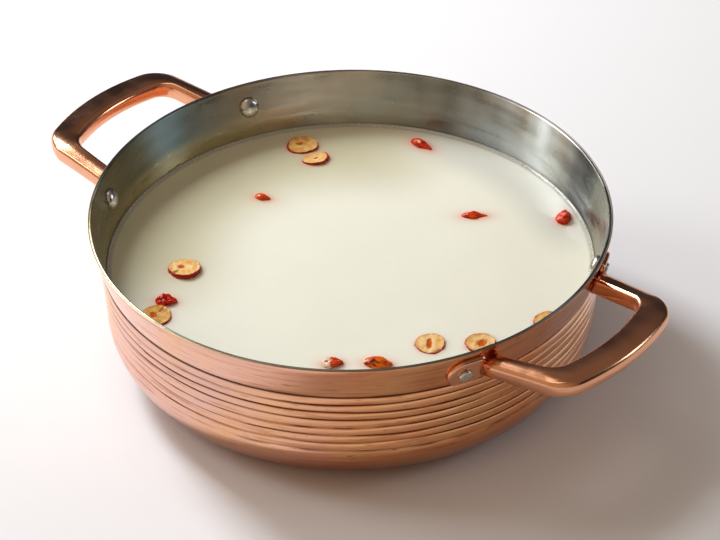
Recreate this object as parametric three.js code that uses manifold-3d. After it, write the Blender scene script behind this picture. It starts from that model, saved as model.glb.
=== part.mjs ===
// A two-handled hot pot: a copper-faced steel pan with ribbed sides and cast loop handles,
// filled with pale broth that carries slices of red date and goji berries.
// Millimetres, +Z up. The origin is the centre of the base, and the handles lie along X.
import * as THREE from 'three';
import { mergeVertices } from 'three/addons/utils/BufferGeometryUtils.js';
import Module from 'manifold-3d';

const wasm = await Module();
wasm.setup();

// ---------------------------------------------------------------- driving dimensions

const GAP = 0.3; // clearance between separate pieces
const TURN_STEPS = 64; // facets round the pot
const TURN = 2 * Math.PI;
const QUARTER = TURN / 4;
const ARC_HANDLE = 0.55; // how far a cubic bend's control points lie towards its corner

const pan = {
  rimRadius: 150,
  height: 95,
  wall: 2.5,
  cornerRadius: 38, // outside of the round between base and wall
  cornerSteps: 5,
  lowRadius: 141, // rib crests just above the round
  highRadius: 143.6, // rib crests just under the band
};

const band = {
  foot: 71.9, // height of the band's lower edge
  footRadius: 143,
  lip: 0.5, // rounding of the rim's two edges
};

const ribs = {
  count: 7,
  lowest: 32.8, // height of the lowest groove
  pitch: 5.5,
  depth: 1, // from crest to groove
  shoulder: 0.3, // share of the pitch where a crest begins and ends
};

// The loop in plan lies between two edges, each with straight arms, two bends and a bowed grip.
const handle = {
  rootReach: 136, // the loop starts inside the wall and is cut to it
  outer: { rootHalfSpread: 55.3, cornerReach: 192.5, cornerHalfSpread: 50, bend: 13 },
  inner: { rootHalfSpread: 43.1, cornerReach: 176, cornerHalfSpread: 39.3, bend: 7.5 },
  gripSlant: 0.287, // slope of the bowed grip where it leaves a corner
  steps: { arm: 2, bend: 5, grip: 6 }, // stations in each half of the loop
  armThickness: 11.7,
  gripThickness: 10.6,
  edgeRound: 3.2,
  rootDrop: 13, // centre of the root below the rim
  rise: 0.108, // slope outward
  armLean: -0.148, // the arms' outer sides are lower
  gripLean: -0.04,
};

const ear = {
  thickness: 2.2,
  radius: 10, // round end about the rivet
  below: 8.4, // from the rivet down to the flat lower edge
  inboard: 12, // from the rivet towards the arm
  arcSteps: 8,
};

const rivet = {
  azimuth: (4.5 * TURN) / TURN_STEPS, // the middle of a facet
  drop: 14.3, // below the rim, on the band's outer face
  shankRadius: 2.5,
  innerHead: { radius: 6.2, height: 3.6 },
  outerHead: { radius: 4.1, height: 1.5 },
  domeSteps: 3,
  seat: 0.45, // clearance under each head
  holeLength: 16,
  steps: 12,
};

const broth = {
  surface: 61.7, // height of the liquid above the base
};

// The profile of a slice of date: radii and depths as shares of its half width and thickness.
const sliceShape = {
  steps: 18,
  underside: 0.84,
  low: { radius: 1, depth: 0.62 },
  high: { radius: 0.98, depth: 0.16 },
  skinEdge: { radius: 0.88, rise: 0.35 }, // rise in millimetres
  hollow: { outer: 0.34, inner: 0.2, depth: 0.9 }, // depth in millimetres
  lobes: 3,
  wobble: 0.035, // how far the outline departs from round
};

// The form of a goji berry: folds round its length, which twist along it.
const berryShape = {
  around: 10,
  along: 7,
  folds: 3,
  foldDepth: 0.12,
  twist: 2,
  narrowing: 0.42, // how much a full pinch draws in the far end
};

// Where each slice of date floats: centre, half sizes, bearing of the long axis, how high its
// face stands over the broth, its thickness, and its tilt towards a bearing. Degrees.
const dateSlices = [
  { x: -97.4, y: 71.8, long: 9.5, short: 9, bearing: 45, stand: 1, thick: 3.6, tilt: 3, tiltTo: -140 },
  { x: -81.7, y: 66.2, long: 8.4, short: 6.2, bearing: 67, stand: 1.1, thick: 3.2, tilt: 6, tiltTo: 160 },
  { x: -67.8, y: -67.4, long: 9.4, short: 8.7, bearing: 42, stand: 2.1, thick: 4.4, tilt: 1.5, tiltTo: 128 },
  { x: -50.8, y: -110.5, long: 9.4, short: 8.7, bearing: 120, stand: 1, thick: 3.6, tilt: 2, tiltTo: 40 },
  { x: 86.3, y: -34.6, long: 8.5, short: 9, bearing: 35, stand: 0.9, thick: 3.6, tilt: 3, tiltTo: -50 },
  { x: 107.8, y: -16.6, long: 8.6, short: 8.8, bearing: 42, stand: 1, thick: 3.6, tilt: 2, tiltTo: -60 },
  { x: 124.6, y: 24.1, long: 8.6, short: 8.2, bearing: 60, stand: 0.9, thick: 3.6, tilt: 2, tiltTo: 30 },
];

// Each goji berry: centre, half length, half width, half height, bearing of its length, how high
// its middle lies over the broth, the pinch of its far end, and the phase of its folds.
const gojiBerries = [
  { x: -80.2, y: 15.7, long: 4.9, wide: 3.1, high: 2.4, bearing: 18, lift: 0.1, pinch: 0.5, phase: 0.4 },
  { x: -42.1, y: 117.1, long: 7.8, wide: 3.9, high: 2.9, bearing: -1, lift: 0.3, pinch: 0.8, phase: 1.7 },
  { x: 28.2, y: 79.1, long: 7.6, wide: 3.5, high: 2.2, bearing: 39, lift: 0.1, pinch: 1, phase: 2.6 },
  { x: 70.6, y: 109.6, long: 6.5, wide: 4.4, high: 3.5, bearing: 118, lift: 0.5, pinch: 0.2, phase: 0.9 },
  { x: -55.7, y: -96.7, long: 6.3, wide: 4.2, high: 3, bearing: 36, lift: 0.5, pinch: 0.4, phase: 3.9 },
  { x: 55, y: -82.5, long: 6.3, wide: 4.2, high: 3, bearing: 44, lift: 0.3, pinch: 0.3, phase: 5.1 },
  { x: 74.8, y: -66.8, long: 8.4, wide: 4.8, high: 3, bearing: 29, lift: 0.7, pinch: 0.6, phase: 2.1 },
];

const materials = {
  pan: new THREE.MeshStandardMaterial({ color: 0xd08c62, roughness: 0.28, metalness: 1 }),
  handle: new THREE.MeshStandardMaterial({ color: 0xcf8a64, roughness: 0.16, metalness: 1 }),
  rivet: new THREE.MeshStandardMaterial({ color: 0xb9b4ae, roughness: 0.3, metalness: 1 }),
  broth: new THREE.MeshStandardMaterial({ color: 0xe8e6d6, roughness: 0.18, metalness: 0 }),
  date: new THREE.MeshStandardMaterial({ color: 0xdcb266, roughness: 0.45, metalness: 0 }),
  goji: new THREE.MeshStandardMaterial({ color: 0xc8281a, roughness: 0.3, metalness: 0 }),
};

// ---------------------------------------------------------------- solids and meshes

const { degToRad, lerp, smoothstep } = THREE.MathUtils;

function dropNeedles(index) {
  const kept = [];
  for (let i = 0; i < index.length; i += 3) {
    const [a, b, c] = [index[i], index[i + 1], index[i + 2]];
    if (a !== b && b !== c && c !== a) {
      kept.push(a, b, c);
    }
  }
  return kept;
}

function toSolid(geometry) {
  const bare = geometry.clone();
  bare.deleteAttribute('normal');
  bare.deleteAttribute('uv');
  const merged = mergeVertices(bare, 1e-4);
  const triangles = dropNeedles(merged.index.array);
  return new wasm.Manifold(new wasm.Mesh({
    numProp: 3,
    vertProperties: new Float32Array(merged.attributes.position.array),
    triVerts: new Uint32Array(triangles),
  }));
}

function toMesh(name, solid, material) {
  const found = solid.getMesh();
  const geometry = new THREE.BufferGeometry();
  geometry.setAttribute('position', new THREE.BufferAttribute(new Float32Array(found.vertProperties), 3));
  geometry.setIndex(new THREE.BufferAttribute(new Uint32Array(found.triVerts), 1));
  geometry.computeVertexNormals();
  const mesh = new THREE.Mesh(geometry, material);
  mesh.name = name;
  return mesh;
}

function placed(geometry, matrix) {
  return toSolid(geometry.clone().applyMatrix4(matrix));
}

// A profile of (radius, height) points turned round the Z axis.
function turned(points, steps) {
  const profile = points.map(([radius, height]) => new THREE.Vector2(radius, height));
  const geometry = new THREE.LatheGeometry(profile, steps);
  geometry.rotateX(QUARTER);
  return geometry;
}

// Rings of points joined into a closed body, with a fan over the first and the last ring.
function lofted(rings) {
  const sides = rings[0].length;
  const index = [];
  for (let ring = 0; ring + 1 < rings.length; ring++) {
    for (let side = 0; side < sides; side++) {
      const next = (side + 1) % sides;
      const [a, b] = [ring * sides + side, ring * sides + next];
      const [c, d] = [a + sides, b + sides];
      index.push(a, d, b, a, c, d);
    }
  }
  const last = (rings.length - 1) * sides;
  for (let side = 1; side + 1 < sides; side++) {
    index.push(0, side, side + 1);
    index.push(last, last + side + 1, last + side);
  }
  const geometry = new THREE.BufferGeometry().setFromPoints(rings.flat());
  geometry.setIndex(index);
  return geometry;
}

// ---------------------------------------------------------------- the pan

// The outer face at the rib crests, inset by a distance: the round, then the wall above it.
function wallRadius(height, inset = 0) {
  if (height < pan.cornerRadius) {
    const rise = pan.cornerRadius - height;
    return pan.lowRadius - pan.cornerRadius + Math.sqrt((pan.cornerRadius - inset) ** 2 - rise ** 2);
  }
  const share = (height - pan.cornerRadius) / (band.foot - pan.cornerRadius);
  return lerp(pan.lowRadius, pan.highRadius, share) - inset;
}

function bandRadius(height) {
  return lerp(band.footRadius, pan.rimRadius, (height - band.foot) / (pan.height - band.foot));
}

// The round between base and wall from straight down through a sweep, inset by a distance.
function cornerArc(inset, sweep) {
  const radius = pan.cornerRadius - inset;
  const centre = pan.lowRadius - pan.cornerRadius;
  const points = [];
  for (let step = 0; step <= pan.cornerSteps; step++) {
    const angle = (step / pan.cornerSteps) * sweep;
    points.push([centre + radius * Math.sin(angle), pan.cornerRadius - radius * Math.cos(angle)]);
  }
  return points;
}

function ribProfile() {
  const points = [];
  for (let rib = 0; rib <= ribs.count; rib++) {
    const groove = ribs.lowest + rib * ribs.pitch;
    points.push([wallRadius(groove, ribs.depth), groove]);
    if (rib < ribs.count) {
      for (const share of [ribs.shoulder, 1 - ribs.shoulder]) {
        const height = groove + share * ribs.pitch;
        points.push([wallRadius(height), height]);
      }
    }
  }
  return points;
}

function panProfile() {
  const top = pan.height;
  const toLowestRib = Math.acos(1 - (ribs.lowest - ribs.shoulder * ribs.pitch) / pan.cornerRadius);
  const outside = [
    [0, 0],
    ...cornerArc(0, toLowestRib),
    ...ribProfile(),
    [band.footRadius, band.foot],
    [bandRadius(top - band.lip), top - band.lip],
    [pan.rimRadius - band.lip, top],
  ];
  const inside = [
    [pan.rimRadius - pan.wall + band.lip, top],
    [bandRadius(top - band.lip) - pan.wall, top - band.lip],
    [band.footRadius - pan.wall, band.foot],
    ...cornerArc(pan.wall, QUARTER).reverse(),
    [0, pan.wall],
  ];
  return [...outside, ...inside];
}

// ---------------------------------------------------------------- rivets and their holes

// The band leans outward, and each rivet stands square to it.
const bandSlope = Math.atan2(pan.rimRadius - band.footRadius, pan.height - band.foot);

function rivetPlace(azimuth) {
  const height = pan.height - rivet.drop;
  const reach = bandRadius(height) * Math.cos(Math.PI / TURN_STEPS);
  const outward = new THREE.Vector3(
    Math.cos(azimuth) * Math.cos(bandSlope),
    Math.sin(azimuth) * Math.cos(bandSlope),
    -Math.sin(bandSlope),
  );
  const turn = new THREE.Quaternion().setFromUnitVectors(new THREE.Vector3(0, 0, 1), outward);
  const place = new THREE.Matrix4().makeRotationFromQuaternion(turn);
  place.setPosition(Math.cos(azimuth) * reach, Math.sin(azimuth) * reach, height);
  return place;
}

// A domed head: its edge at `from`, its top at `to`, as (radius, height) points.
function domePoints(head, from, to) {
  const points = [];
  for (let step = 0; step < rivet.domeSteps; step++) {
    const angle = (step / rivet.domeSteps) * QUARTER;
    points.push([head.radius * Math.cos(angle), lerp(from, to, Math.sin(angle))]);
  }
  points.push([0, to]);
  return points;
}

function rivetGeometry() {
  const inner = -pan.wall * Math.cos(bandSlope) - rivet.seat;
  const outer = GAP + ear.thickness + rivet.seat;
  const profile = [
    ...domePoints(rivet.innerHead, inner, inner - rivet.innerHead.height).reverse(),
    [rivet.shankRadius, inner],
    [rivet.shankRadius, outer],
    ...domePoints(rivet.outerHead, outer, outer + rivet.outerHead.height),
  ];
  return turned(profile, rivet.steps);
}

function rivetHole() {
  const radius = rivet.shankRadius + GAP;
  return new THREE.CylinderGeometry(radius, radius, rivet.holeLength, rivet.steps).rotateX(QUARTER);
}

const rivetAzimuths = [
  rivet.azimuth,
  -rivet.azimuth,
  Math.PI - rivet.azimuth,
  Math.PI + rivet.azimuth,
];

function panSolid() {
  let solid = toSolid(turned(panProfile(), TURN_STEPS));
  for (const azimuth of rivetAzimuths) {
    solid = solid.subtract(placed(rivetHole(), rivetPlace(azimuth)));
  }
  return solid;
}

// ---------------------------------------------------------------- handles

// Half of one edge of the loop in plan, from the root to the middle of the grip.
function edgeHalf(edge) {
  const root = new THREE.Vector2(handle.rootReach, -edge.rootHalfSpread);
  const corner = new THREE.Vector2(edge.cornerReach, -edge.cornerHalfSpread);
  const crown = new THREE.Vector2(edge.cornerReach + handle.gripSlant * edge.cornerHalfSpread, 0);
  const armEnd = corner.clone().lerp(root, edge.bend / corner.distanceTo(root));
  const gripStart = corner.clone().lerp(crown, edge.bend / corner.distanceTo(crown));
  const gripEnd = new THREE.Vector2(gripStart.x, -gripStart.y);
  const bend = new THREE.CubicBezierCurve(
    armEnd,
    armEnd.clone().lerp(corner, ARC_HANDLE),
    gripStart.clone().lerp(corner, ARC_HANDLE),
    gripStart,
  );
  const grip = new THREE.QuadraticBezierCurve(gripStart, crown, gripEnd);
  return [
    ...new THREE.LineCurve(root, armEnd).getPoints(handle.steps.arm).slice(0, -1),
    ...bend.getPoints(handle.steps.bend).slice(0, -1),
    ...grip.getPoints(2 * handle.steps.grip).slice(0, handle.steps.grip + 1),
  ];
}

function loopStations() {
  const inner = edgeHalf(handle.inner);
  const bendEnd = handle.steps.arm + handle.steps.bend;
  const near = edgeHalf(handle.outer).map((outer, step) => (
    { outer, inner: inner[step], grip: smoothstep(step, handle.steps.arm, bendEnd) }
  ));
  const mirrored = (point) => new THREE.Vector2(point.x, -point.y);
  const far = near.slice(0, -1).reverse().map((station) => (
    { outer: mirrored(station.outer), inner: mirrored(station.inner), grip: station.grip }
  ));
  return [...near, ...far];
}

function loopHeight(reach) {
  const root = pan.height - handle.rootDrop;
  return root + handle.rise * (reach - bandRadius(root));
}

// A rectangle with rounded corners, as (across, up) pairs, running from across to up.
function roundedSection(width, thickness) {
  const round = handle.edgeRound;
  const points = [];
  for (const [signAcross, signUp, start] of [[1, -1, -90], [1, 1, 0], [-1, 1, 90], [-1, -1, 180]]) {
    for (const turn of [0, 45, 90]) {
      const angle = degToRad(start + turn);
      points.push([
        signAcross * (width / 2 - round) + round * Math.cos(angle),
        signUp * (thickness / 2 - round) + round * Math.sin(angle),
      ]);
    }
  }
  return points;
}

function loopRing({ outer, inner, grip }) {
  const plan = outer.clone().sub(inner);
  const width = plan.length();
  plan.normalize();
  const lean = lerp(handle.armLean, handle.gripLean, grip);
  const across = new THREE.Vector3(plan.x, plan.y, lean).normalize();
  const forward = new THREE.Vector3(-plan.y, plan.x, -plan.y * handle.rise);
  const up = new THREE.Vector3().crossVectors(across, forward).normalize();
  const middle = outer.clone().lerp(inner, 0.5);
  const centre = new THREE.Vector3(middle.x, middle.y, loopHeight(middle.x));
  const thickness = lerp(handle.armThickness, handle.gripThickness, grip);
  return roundedSection(width, thickness).map(([side, rise]) => (
    centre.clone().addScaledVector(across, side).addScaledVector(up, rise)
  ));
}

// Two points on the band's outer face continued down and up, at a distance outside it.
function bandFace(outset) {
  const heights = [band.foot - pan.cornerRadius, pan.height + pan.cornerRadius];
  return heights.map((height) => [bandRadius(height) + outset, height]);
}

// The riveted ear: a plate that follows the band, with a round end about the rivet.
function earSolid(side) {
  const near = bandFace(GAP);
  const far = bandFace(GAP + ear.thickness);
  const plate = toSolid(turned([near[0], far[0], far[1], near[1], near[0]], TURN_STEPS));
  const drop = Math.asin(ear.below / ear.radius);
  const start = side > 0 ? -drop : Math.PI + drop;
  const outline = new THREE.Shape();
  outline.moveTo(-side * ear.inboard, -ear.below);
  outline.lineTo(side * ear.radius * Math.cos(drop), -ear.below);
  outline.absarc(0, 0, ear.radius, start, QUARTER, side < 0);
  outline.lineTo(-side * ear.inboard, ear.radius);
  const prism = new THREE.ExtrudeGeometry(outline, {
    depth: 2 * pan.cornerRadius,
    bevelEnabled: false,
    curveSegments: ear.arcSteps,
  });
  const azimuth = side * rivet.azimuth;
  const outward = new THREE.Vector3(Math.cos(azimuth), Math.sin(azimuth), 0);
  const along = new THREE.Vector3(-Math.sin(azimuth), Math.cos(azimuth), 0);
  const place = new THREE.Matrix4().makeBasis(along, new THREE.Vector3(0, 0, 1), outward);
  const reach = pan.rimRadius - pan.cornerRadius;
  place.setPosition(outward.x * reach, outward.y * reach, pan.height - rivet.drop);
  return plate.intersect(placed(prism, place));
}

function handleSolid() {
  const [low, high] = bandFace(GAP);
  const wallBody = toSolid(turned([[0, low[1]], low, high, [0, high[1]]], TURN_STEPS));
  let solid = toSolid(lofted(loopStations().map(loopRing))).subtract(wallBody);
  for (const side of [-1, 1]) {
    solid = solid.add(earSolid(side));
    solid = solid.subtract(placed(rivetHole(), rivetPlace(side * rivet.azimuth)));
  }
  return solid;
}

// ---------------------------------------------------------------- what floats in the broth

// A slice of date: a disc with a round skin edge and a shallow hollow where the stone was.
// Grown by a clearance, it is the pocket that the slice lies in, with no hollow.
function dateSlice(slice, grow) {
  const { underside, low, high, skinEdge, hollow } = sliceShape;
  const floor = grow > 0 ? grow : -hollow.depth;
  const profile = [
    [0, -slice.thick - grow],
    [underside, -slice.thick - grow],
    [low.radius, -low.depth * slice.thick],
    [high.radius, -high.depth * slice.thick],
    [skinEdge.radius, skinEdge.rise + grow],
    [hollow.outer, grow],
    [hollow.inner, floor],
    [0, floor],
  ];
  const geometry = turned(profile, sliceShape.steps);
  const place = geometry.attributes.position;
  for (let i = 0; i < place.count; i++) {
    const [x, y] = [place.getX(i), place.getY(i)];
    const lobe = Math.cos(sliceShape.lobes * Math.atan2(y, x) + slice.bearing);
    const wobble = 1 + sliceShape.wobble * lobe * Math.hypot(x, y);
    place.setX(i, x * wobble * (slice.long + grow));
    place.setY(i, y * wobble * (slice.short + grow));
  }
  geometry.rotateZ(degToRad(slice.bearing));
  const tiltTo = degToRad(slice.tiltTo);
  const tiltAxis = new THREE.Vector3(-Math.sin(tiltTo), Math.cos(tiltTo), 0);
  const matrix = new THREE.Matrix4().makeRotationAxis(tiltAxis, degToRad(slice.tilt));
  matrix.setPosition(slice.x, slice.y, broth.surface + slice.stand);
  return placed(geometry, matrix);
}

// A goji berry: a wrinkled spindle that narrows to a point at its far end.
// Grown by a clearance, it is the pocket that the berry lies in, with its folds filled.
function gojiBerry(berry, grow) {
  const geometry = new THREE.SphereGeometry(1, berryShape.around, berryShape.along);
  geometry.rotateZ(-QUARTER);
  const place = geometry.attributes.position;
  for (let i = 0; i < place.count; i++) {
    const [along, y, z] = [place.getX(i), place.getY(i), place.getZ(i)];
    const turn = berryShape.folds * Math.atan2(z, y) + berry.phase + berryShape.twist * along;
    const fold = grow > 0 ? 1 : Math.cos(turn);
    const narrow = 1 - berryShape.narrowing * berry.pinch * Math.max(0, along);
    const swell = (1 + berryShape.foldDepth * fold) * narrow;
    place.setX(i, along * (berry.long + grow));
    place.setY(i, y * swell * (berry.wide + grow));
    place.setZ(i, z * swell * (berry.high + grow));
  }
  geometry.rotateZ(degToRad(berry.bearing));
  geometry.translate(berry.x, berry.y, broth.surface + berry.lift);
  return toSolid(geometry);
}

// ---------------------------------------------------------------- the broth

function brothSolid() {
  const profile = [
    [0, pan.wall + GAP],
    ...cornerArc(pan.wall + GAP, QUARTER),
    [wallRadius(broth.surface, pan.wall + ribs.depth), broth.surface],
    [0, broth.surface],
  ];
  let solid = toSolid(turned(profile, TURN_STEPS));
  for (const slice of dateSlices) {
    solid = solid.subtract(dateSlice(slice, GAP));
  }
  for (const berry of gojiBerries) {
    solid = solid.subtract(gojiBerry(berry, GAP));
  }
  return solid;
}

// ---------------------------------------------------------------- the whole pot

const pot = new THREE.Group();
pot.add(toMesh('pot_body', panSolid(), materials.pan));
pot.add(toMesh('broth', brothSolid(), materials.broth));

for (const [side, turn] of [['right', 0], ['left', Math.PI]]) {
  const mesh = toMesh(`handle_${side}`, handleSolid(), materials.handle);
  mesh.rotation.z = turn;
  pot.add(mesh);
}

rivetAzimuths.forEach((azimuth, number) => {
  const solid = placed(rivetGeometry(), rivetPlace(azimuth));
  pot.add(toMesh(`rivet_${number + 1}`, solid, materials.rivet));
});

dateSlices.forEach((slice, number) => {
  pot.add(toMesh(`date_slice_${number + 1}`, dateSlice(slice, 0), materials.date));
});

gojiBerries.forEach((berry, number) => {
  pot.add(toMesh(`goji_berry_${number + 1}`, gojiBerry(berry, 0), materials.goji));
});

export default pot;
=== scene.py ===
"""Dresses a packed two-handled hot pot: a copper-faced steel pan with ribbed sides and riveted loop
handles, filled with pale broth that carries slices of red date and goji berries.

It is laid out as an add-on and run as a script. Lengths are in metres, with +Z up; the origin is
the centre of the base and the handles lie along X.
"""

from functools import partial
from math import asin, atan2, cos, pi, radians, sin, sqrt, tau

import bmesh
import bpy
import numpy as np
from bpy.props import FloatProperty, FloatVectorProperty, IntProperty, PointerProperty
from mathutils import Matrix, Vector, noise


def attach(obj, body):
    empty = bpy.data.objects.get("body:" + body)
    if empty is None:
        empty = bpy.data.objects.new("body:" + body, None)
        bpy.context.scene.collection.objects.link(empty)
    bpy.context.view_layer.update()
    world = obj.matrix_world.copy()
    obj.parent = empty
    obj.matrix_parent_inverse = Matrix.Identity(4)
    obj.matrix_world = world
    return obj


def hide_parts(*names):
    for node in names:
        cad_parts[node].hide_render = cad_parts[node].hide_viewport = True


bl_info = {
    "name": "Copper Hot Pot",
    "version": (1, 0, 0),
    "blender": (4, 5, 0),
    "location": "3D View > Sidebar > Hot Pot",
    "description": "Builds a riveted copper hot pot with broth, date slices and goji berries",
    "category": "Add Mesh",
}

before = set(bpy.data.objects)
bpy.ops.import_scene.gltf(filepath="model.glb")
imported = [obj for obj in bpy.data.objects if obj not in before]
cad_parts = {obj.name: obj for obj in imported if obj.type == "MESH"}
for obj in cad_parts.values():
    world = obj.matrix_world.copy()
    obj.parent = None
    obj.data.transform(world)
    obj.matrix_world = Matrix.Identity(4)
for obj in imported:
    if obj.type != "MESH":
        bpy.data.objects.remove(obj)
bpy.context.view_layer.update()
BODY = "root"
SEED = 41

# ---------------------------------------------------------------- sizes shared by several pieces

MILLIMETRE = 0.001

HEIGHT = 0.095
WALL = 0.0025  # thickness of the copper and steel together
CORNER_RADIUS = 0.038  # of the round between base and wall
LOW_RADIUS = 0.141  # rib crests just above the round between base and wall
HIGH_RADIUS = 0.1436  # rib crests just under the band
BAND_FOOT = 0.0719  # height of the plain band's lower edge
BAND_FOOT_RADIUS = 0.143
BAND_TOP_RADIUS = 0.15
BAND_SLOPE = atan2(BAND_TOP_RADIUS - BAND_FOOT_RADIUS, HEIGHT - BAND_FOOT)  # off the vertical
RIM_RADIUS = 0.1498
GROOVES = (0.0325, 0.0386, 0.0444, 0.0495, 0.0552, 0.0607, 0.0661)  # heights between the ribs
# From here up, the painted shade in the grooves runs broad and unbroken on the side with the
# painted highlight.
FIRST_UPPER_GROOVE = 4  # from here up they run broad and unbroken on the rosy side

# Bearings round the pan, in degrees from +X: where painted reflections make the copper rosiest and
# pinkest, where painted golden light lies low on the steel, and where painted shade makes the broth
# yellower and greyer.
ROSY_HIGHLIGHT_BEARING = 258
PINK_REFLECTION_BEARING = 32
GOLD_LIGHT_BEARING = 196
WALL_SHADE_BEARING = 172
GREY_SHADE_BEARING = 78

RIVET_AZIMUTH = 4.5 * tau / 64  # to each side of a handle's middle
RIVET_AZIMUTHS = (RIVET_AZIMUTH, -RIVET_AZIMUTH, pi - RIVET_AZIMUTH, pi + RIVET_AZIMUTH)
RIVET_DROP = 0.0143  # from the rim down to the rivets
EAR_GAP = 0.0003  # between the band and an ear
EAR_THICKNESS = 0.0022

# Centre, half sizes, bearing of the long axis, height of the face over the broth, thickness, tilt
# and the bearing it tilts towards. Lengths in millimetres, angles in degrees.
DATE_SLICES = (
    (-97.4, 71.8, 9.5, 9, 45, 1, 3.6, 3, -140),
    (-81.7, 66.2, 8.4, 6.2, 67, 1.1, 3.2, 6, 160),
    (-67.8, -67.4, 9.4, 8.7, 42, 2.1, 4.4, 1.5, 128),
    (-50.8, -110.5, 9.4, 8.7, 120, 1, 3.6, 2, 40),
    (86.3, -34.6, 8.5, 9, 35, 0.9, 3.6, 3, -50),
    (107.8, -16.6, 8.6, 8.8, 42, 1, 3.6, 2, -60),
    (124.6, 24.1, 8.6, 8.2, 60, 0.9, 3.6, 2, 30),
)

# Centre, half length, half width, half height, bearing of the length, height of the middle over the
# broth, pinch of the far end and phase of the folds.
GOJI_BERRIES = (
    (-80.2, 15.7, 4.9, 3.1, 2.4, 18, 0.1, 0.5, 0.4),
    (-42.1, 117.1, 7.8, 3.9, 2.9, -1, 0.3, 0.8, 1.7),
    (28.2, 79.1, 7.6, 3.5, 2.2, 39, 0.1, 1, 2.6),
    (70.6, 109.6, 6.5, 4.4, 3.5, 118, 0.5, 0.2, 0.9),
    (-55.7, -96.7, 6.3, 4.2, 3, 36, 0.5, 0.4, 3.9),
    (55, -82.5, 6.3, 4.2, 3, 44, 0.3, 0.3, 5.1),
    (74.8, -66.8, 8.4, 4.8, 3, 29, 0.7, 0.6, 2.1),
)


def blend(a, b, share):
    """A value between a and b."""
    return a + (b - a) * share


def ease(share):
    """0 to 1 with a smooth start and end."""
    share = min(max(share, 0.0), 1.0)
    return share * share * (3 - 2 * share)


# ---------------------------------------------------------------- meshes


def add_piece(name, points, faces, *, material, node, attributes=None):
    """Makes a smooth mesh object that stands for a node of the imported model."""
    mesh = bpy.data.meshes.new(name)
    mesh.from_pydata([tuple(p) for p in points], [], faces)
    mesh.materials.append(material)
    for key, values in (attributes or {}).items():
        layer = mesh.attributes.new(key, "FLOAT", "POINT")
        layer.data.foreach_set("value", np.asarray(values, dtype=np.float32))
    built = bmesh.new()
    built.from_mesh(mesh)
    bmesh.ops.recalc_face_normals(built, faces=built.faces)
    built.to_mesh(mesh)
    built.free()
    mesh.shade_smooth()
    piece = bpy.data.objects.new(name, mesh)
    bpy.context.scene.collection.objects.link(piece)
    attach(piece, BODY)
    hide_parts(node)


def ring_faces(rings, sides, first=0):
    """Quads between rings of points that close on themselves."""
    faces = []
    for ring in range(rings - 1):
        for side in range(sides):
            after = (side + 1) % sides
            a = first + ring * sides
            faces.append((a + side, a + after, a + sides + after, a + sides + side))
    return faces


def fan(tip, first, sides):
    """Triangles from one point to the ring of points that begins at first."""
    return [(tip, first + side, first + (side + 1) % sides) for side in range(sides)]


def capped_rings(rings, sides):
    """Faces of rings that a point before them and a point after them close."""
    last = 1 + rings * sides
    return fan(0, 1, sides) + ring_faces(rings, sides, 1) + fan(last, last - sides, sides)


def arc(middle, rise, radius, turns):
    """Points of an arc about (middle, rise), at the given angles in degrees."""
    return [(middle + radius * cos(a), rise + radius * sin(a)) for a in map(radians, turns)]


def turned(profile, steps, shape=None):
    """Points and faces of a closed profile of (radius, height) turned round Z.

    The profile starts and ends on the axis. shape(azimuth) may give another profile of the same
    length for each azimuth.
    """
    inner = len(profile) - 2
    points = []
    for step in range(steps):
        azimuth = tau * step / steps
        section = (shape(azimuth) if shape else profile)[1:-1]
        points += [(r * cos(azimuth), r * sin(azimuth), z) for r, z in section]
    start, end = len(points), len(points) + 1
    points += [(0, 0, profile[0][1]), (0, 0, profile[-1][1])]
    faces = []
    for step in range(steps):
        a, b = step * inner, (step + 1) % steps * inner
        faces += [(a + i, b + i, b + i + 1, a + i + 1) for i in range(inner - 1)]
        faces.append((start, b, a))
        faces.append((end, a + inner - 1, b + inner - 1))
    return points, faces


def join_shells(*shells):
    """Several (points, faces) as one."""
    points, faces = [], []
    for some_points, some_faces in shells:
        first = len(points)
        points += list(some_points)
        faces += [tuple(first + i for i in face) for face in some_faces]
    return points, faces


# ---------------------------------------------------------------- the pan's form


def wall_radius(height, inset=0.0):
    """Radius of the wall at the rib crests, less an inset."""
    if height < CORNER_RADIUS:
        rise = CORNER_RADIUS - height
        return LOW_RADIUS - CORNER_RADIUS + sqrt(max((CORNER_RADIUS - inset) ** 2 - rise**2, 0))
    share = (height - CORNER_RADIUS) / (BAND_FOOT - CORNER_RADIUS)
    return blend(LOW_RADIUS, HIGH_RADIUS, share) - inset


def band_radius(height):
    """Radius of the band's outer face."""
    return blend(BAND_FOOT_RADIUS, BAND_TOP_RADIUS, (height - BAND_FOOT) / (HEIGHT - BAND_FOOT))


def corner_arc(inset, sweep, steps):
    """The round between base and wall, from straight down through a sweep."""
    radius, centre = CORNER_RADIUS - inset, LOW_RADIUS - CORNER_RADIUS
    angles = [sweep * step / steps for step in range(steps + 1)]
    return [(centre + radius * sin(a), CORNER_RADIUS - radius * cos(a)) for a in angles]


def slow_noise(azimuth, row, scale=1.0):
    """A smooth value between about -1 and 1 that changes round the pot and from row to row."""
    place = Vector((cos(azimuth) * scale, sin(azimuth) * scale, row * 7.3 + SEED))
    return noise.noise(place) * 1.8


# Rows of a rib's profile from one groove to the next: share of the way up, and depth from the crest
# as a share of the groove's depth.
RIB_ROWS = (
    (0.0, 1.0), (0.022, 0.97), (0.045, 0.88), (0.07, 0.7), (0.105, 0.38), (0.14, 0.18),
    (0.2, 0.05), (0.28, 0.0), (0.38, 0.01), (0.48, 0.05), (0.58, 0.12), (0.68, 0.21),
    (0.77, 0.33), (0.84, 0.45), (0.89, 0.56), (0.925, 0.66), (0.955, 0.78), (0.98, 0.91),
)


def groove_place(groove, azimuth):
    """Height of a groove, which wanders a little round the pot."""
    if groove == len(GROOVES):
        return BAND_FOOT
    wander = slow_noise(azimuth, groove, 1.3) * 0.00055
    wander += slow_noise(azimuth, groove + 20, 5) * 0.00018
    return GROOVES[groove] + wander


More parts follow.
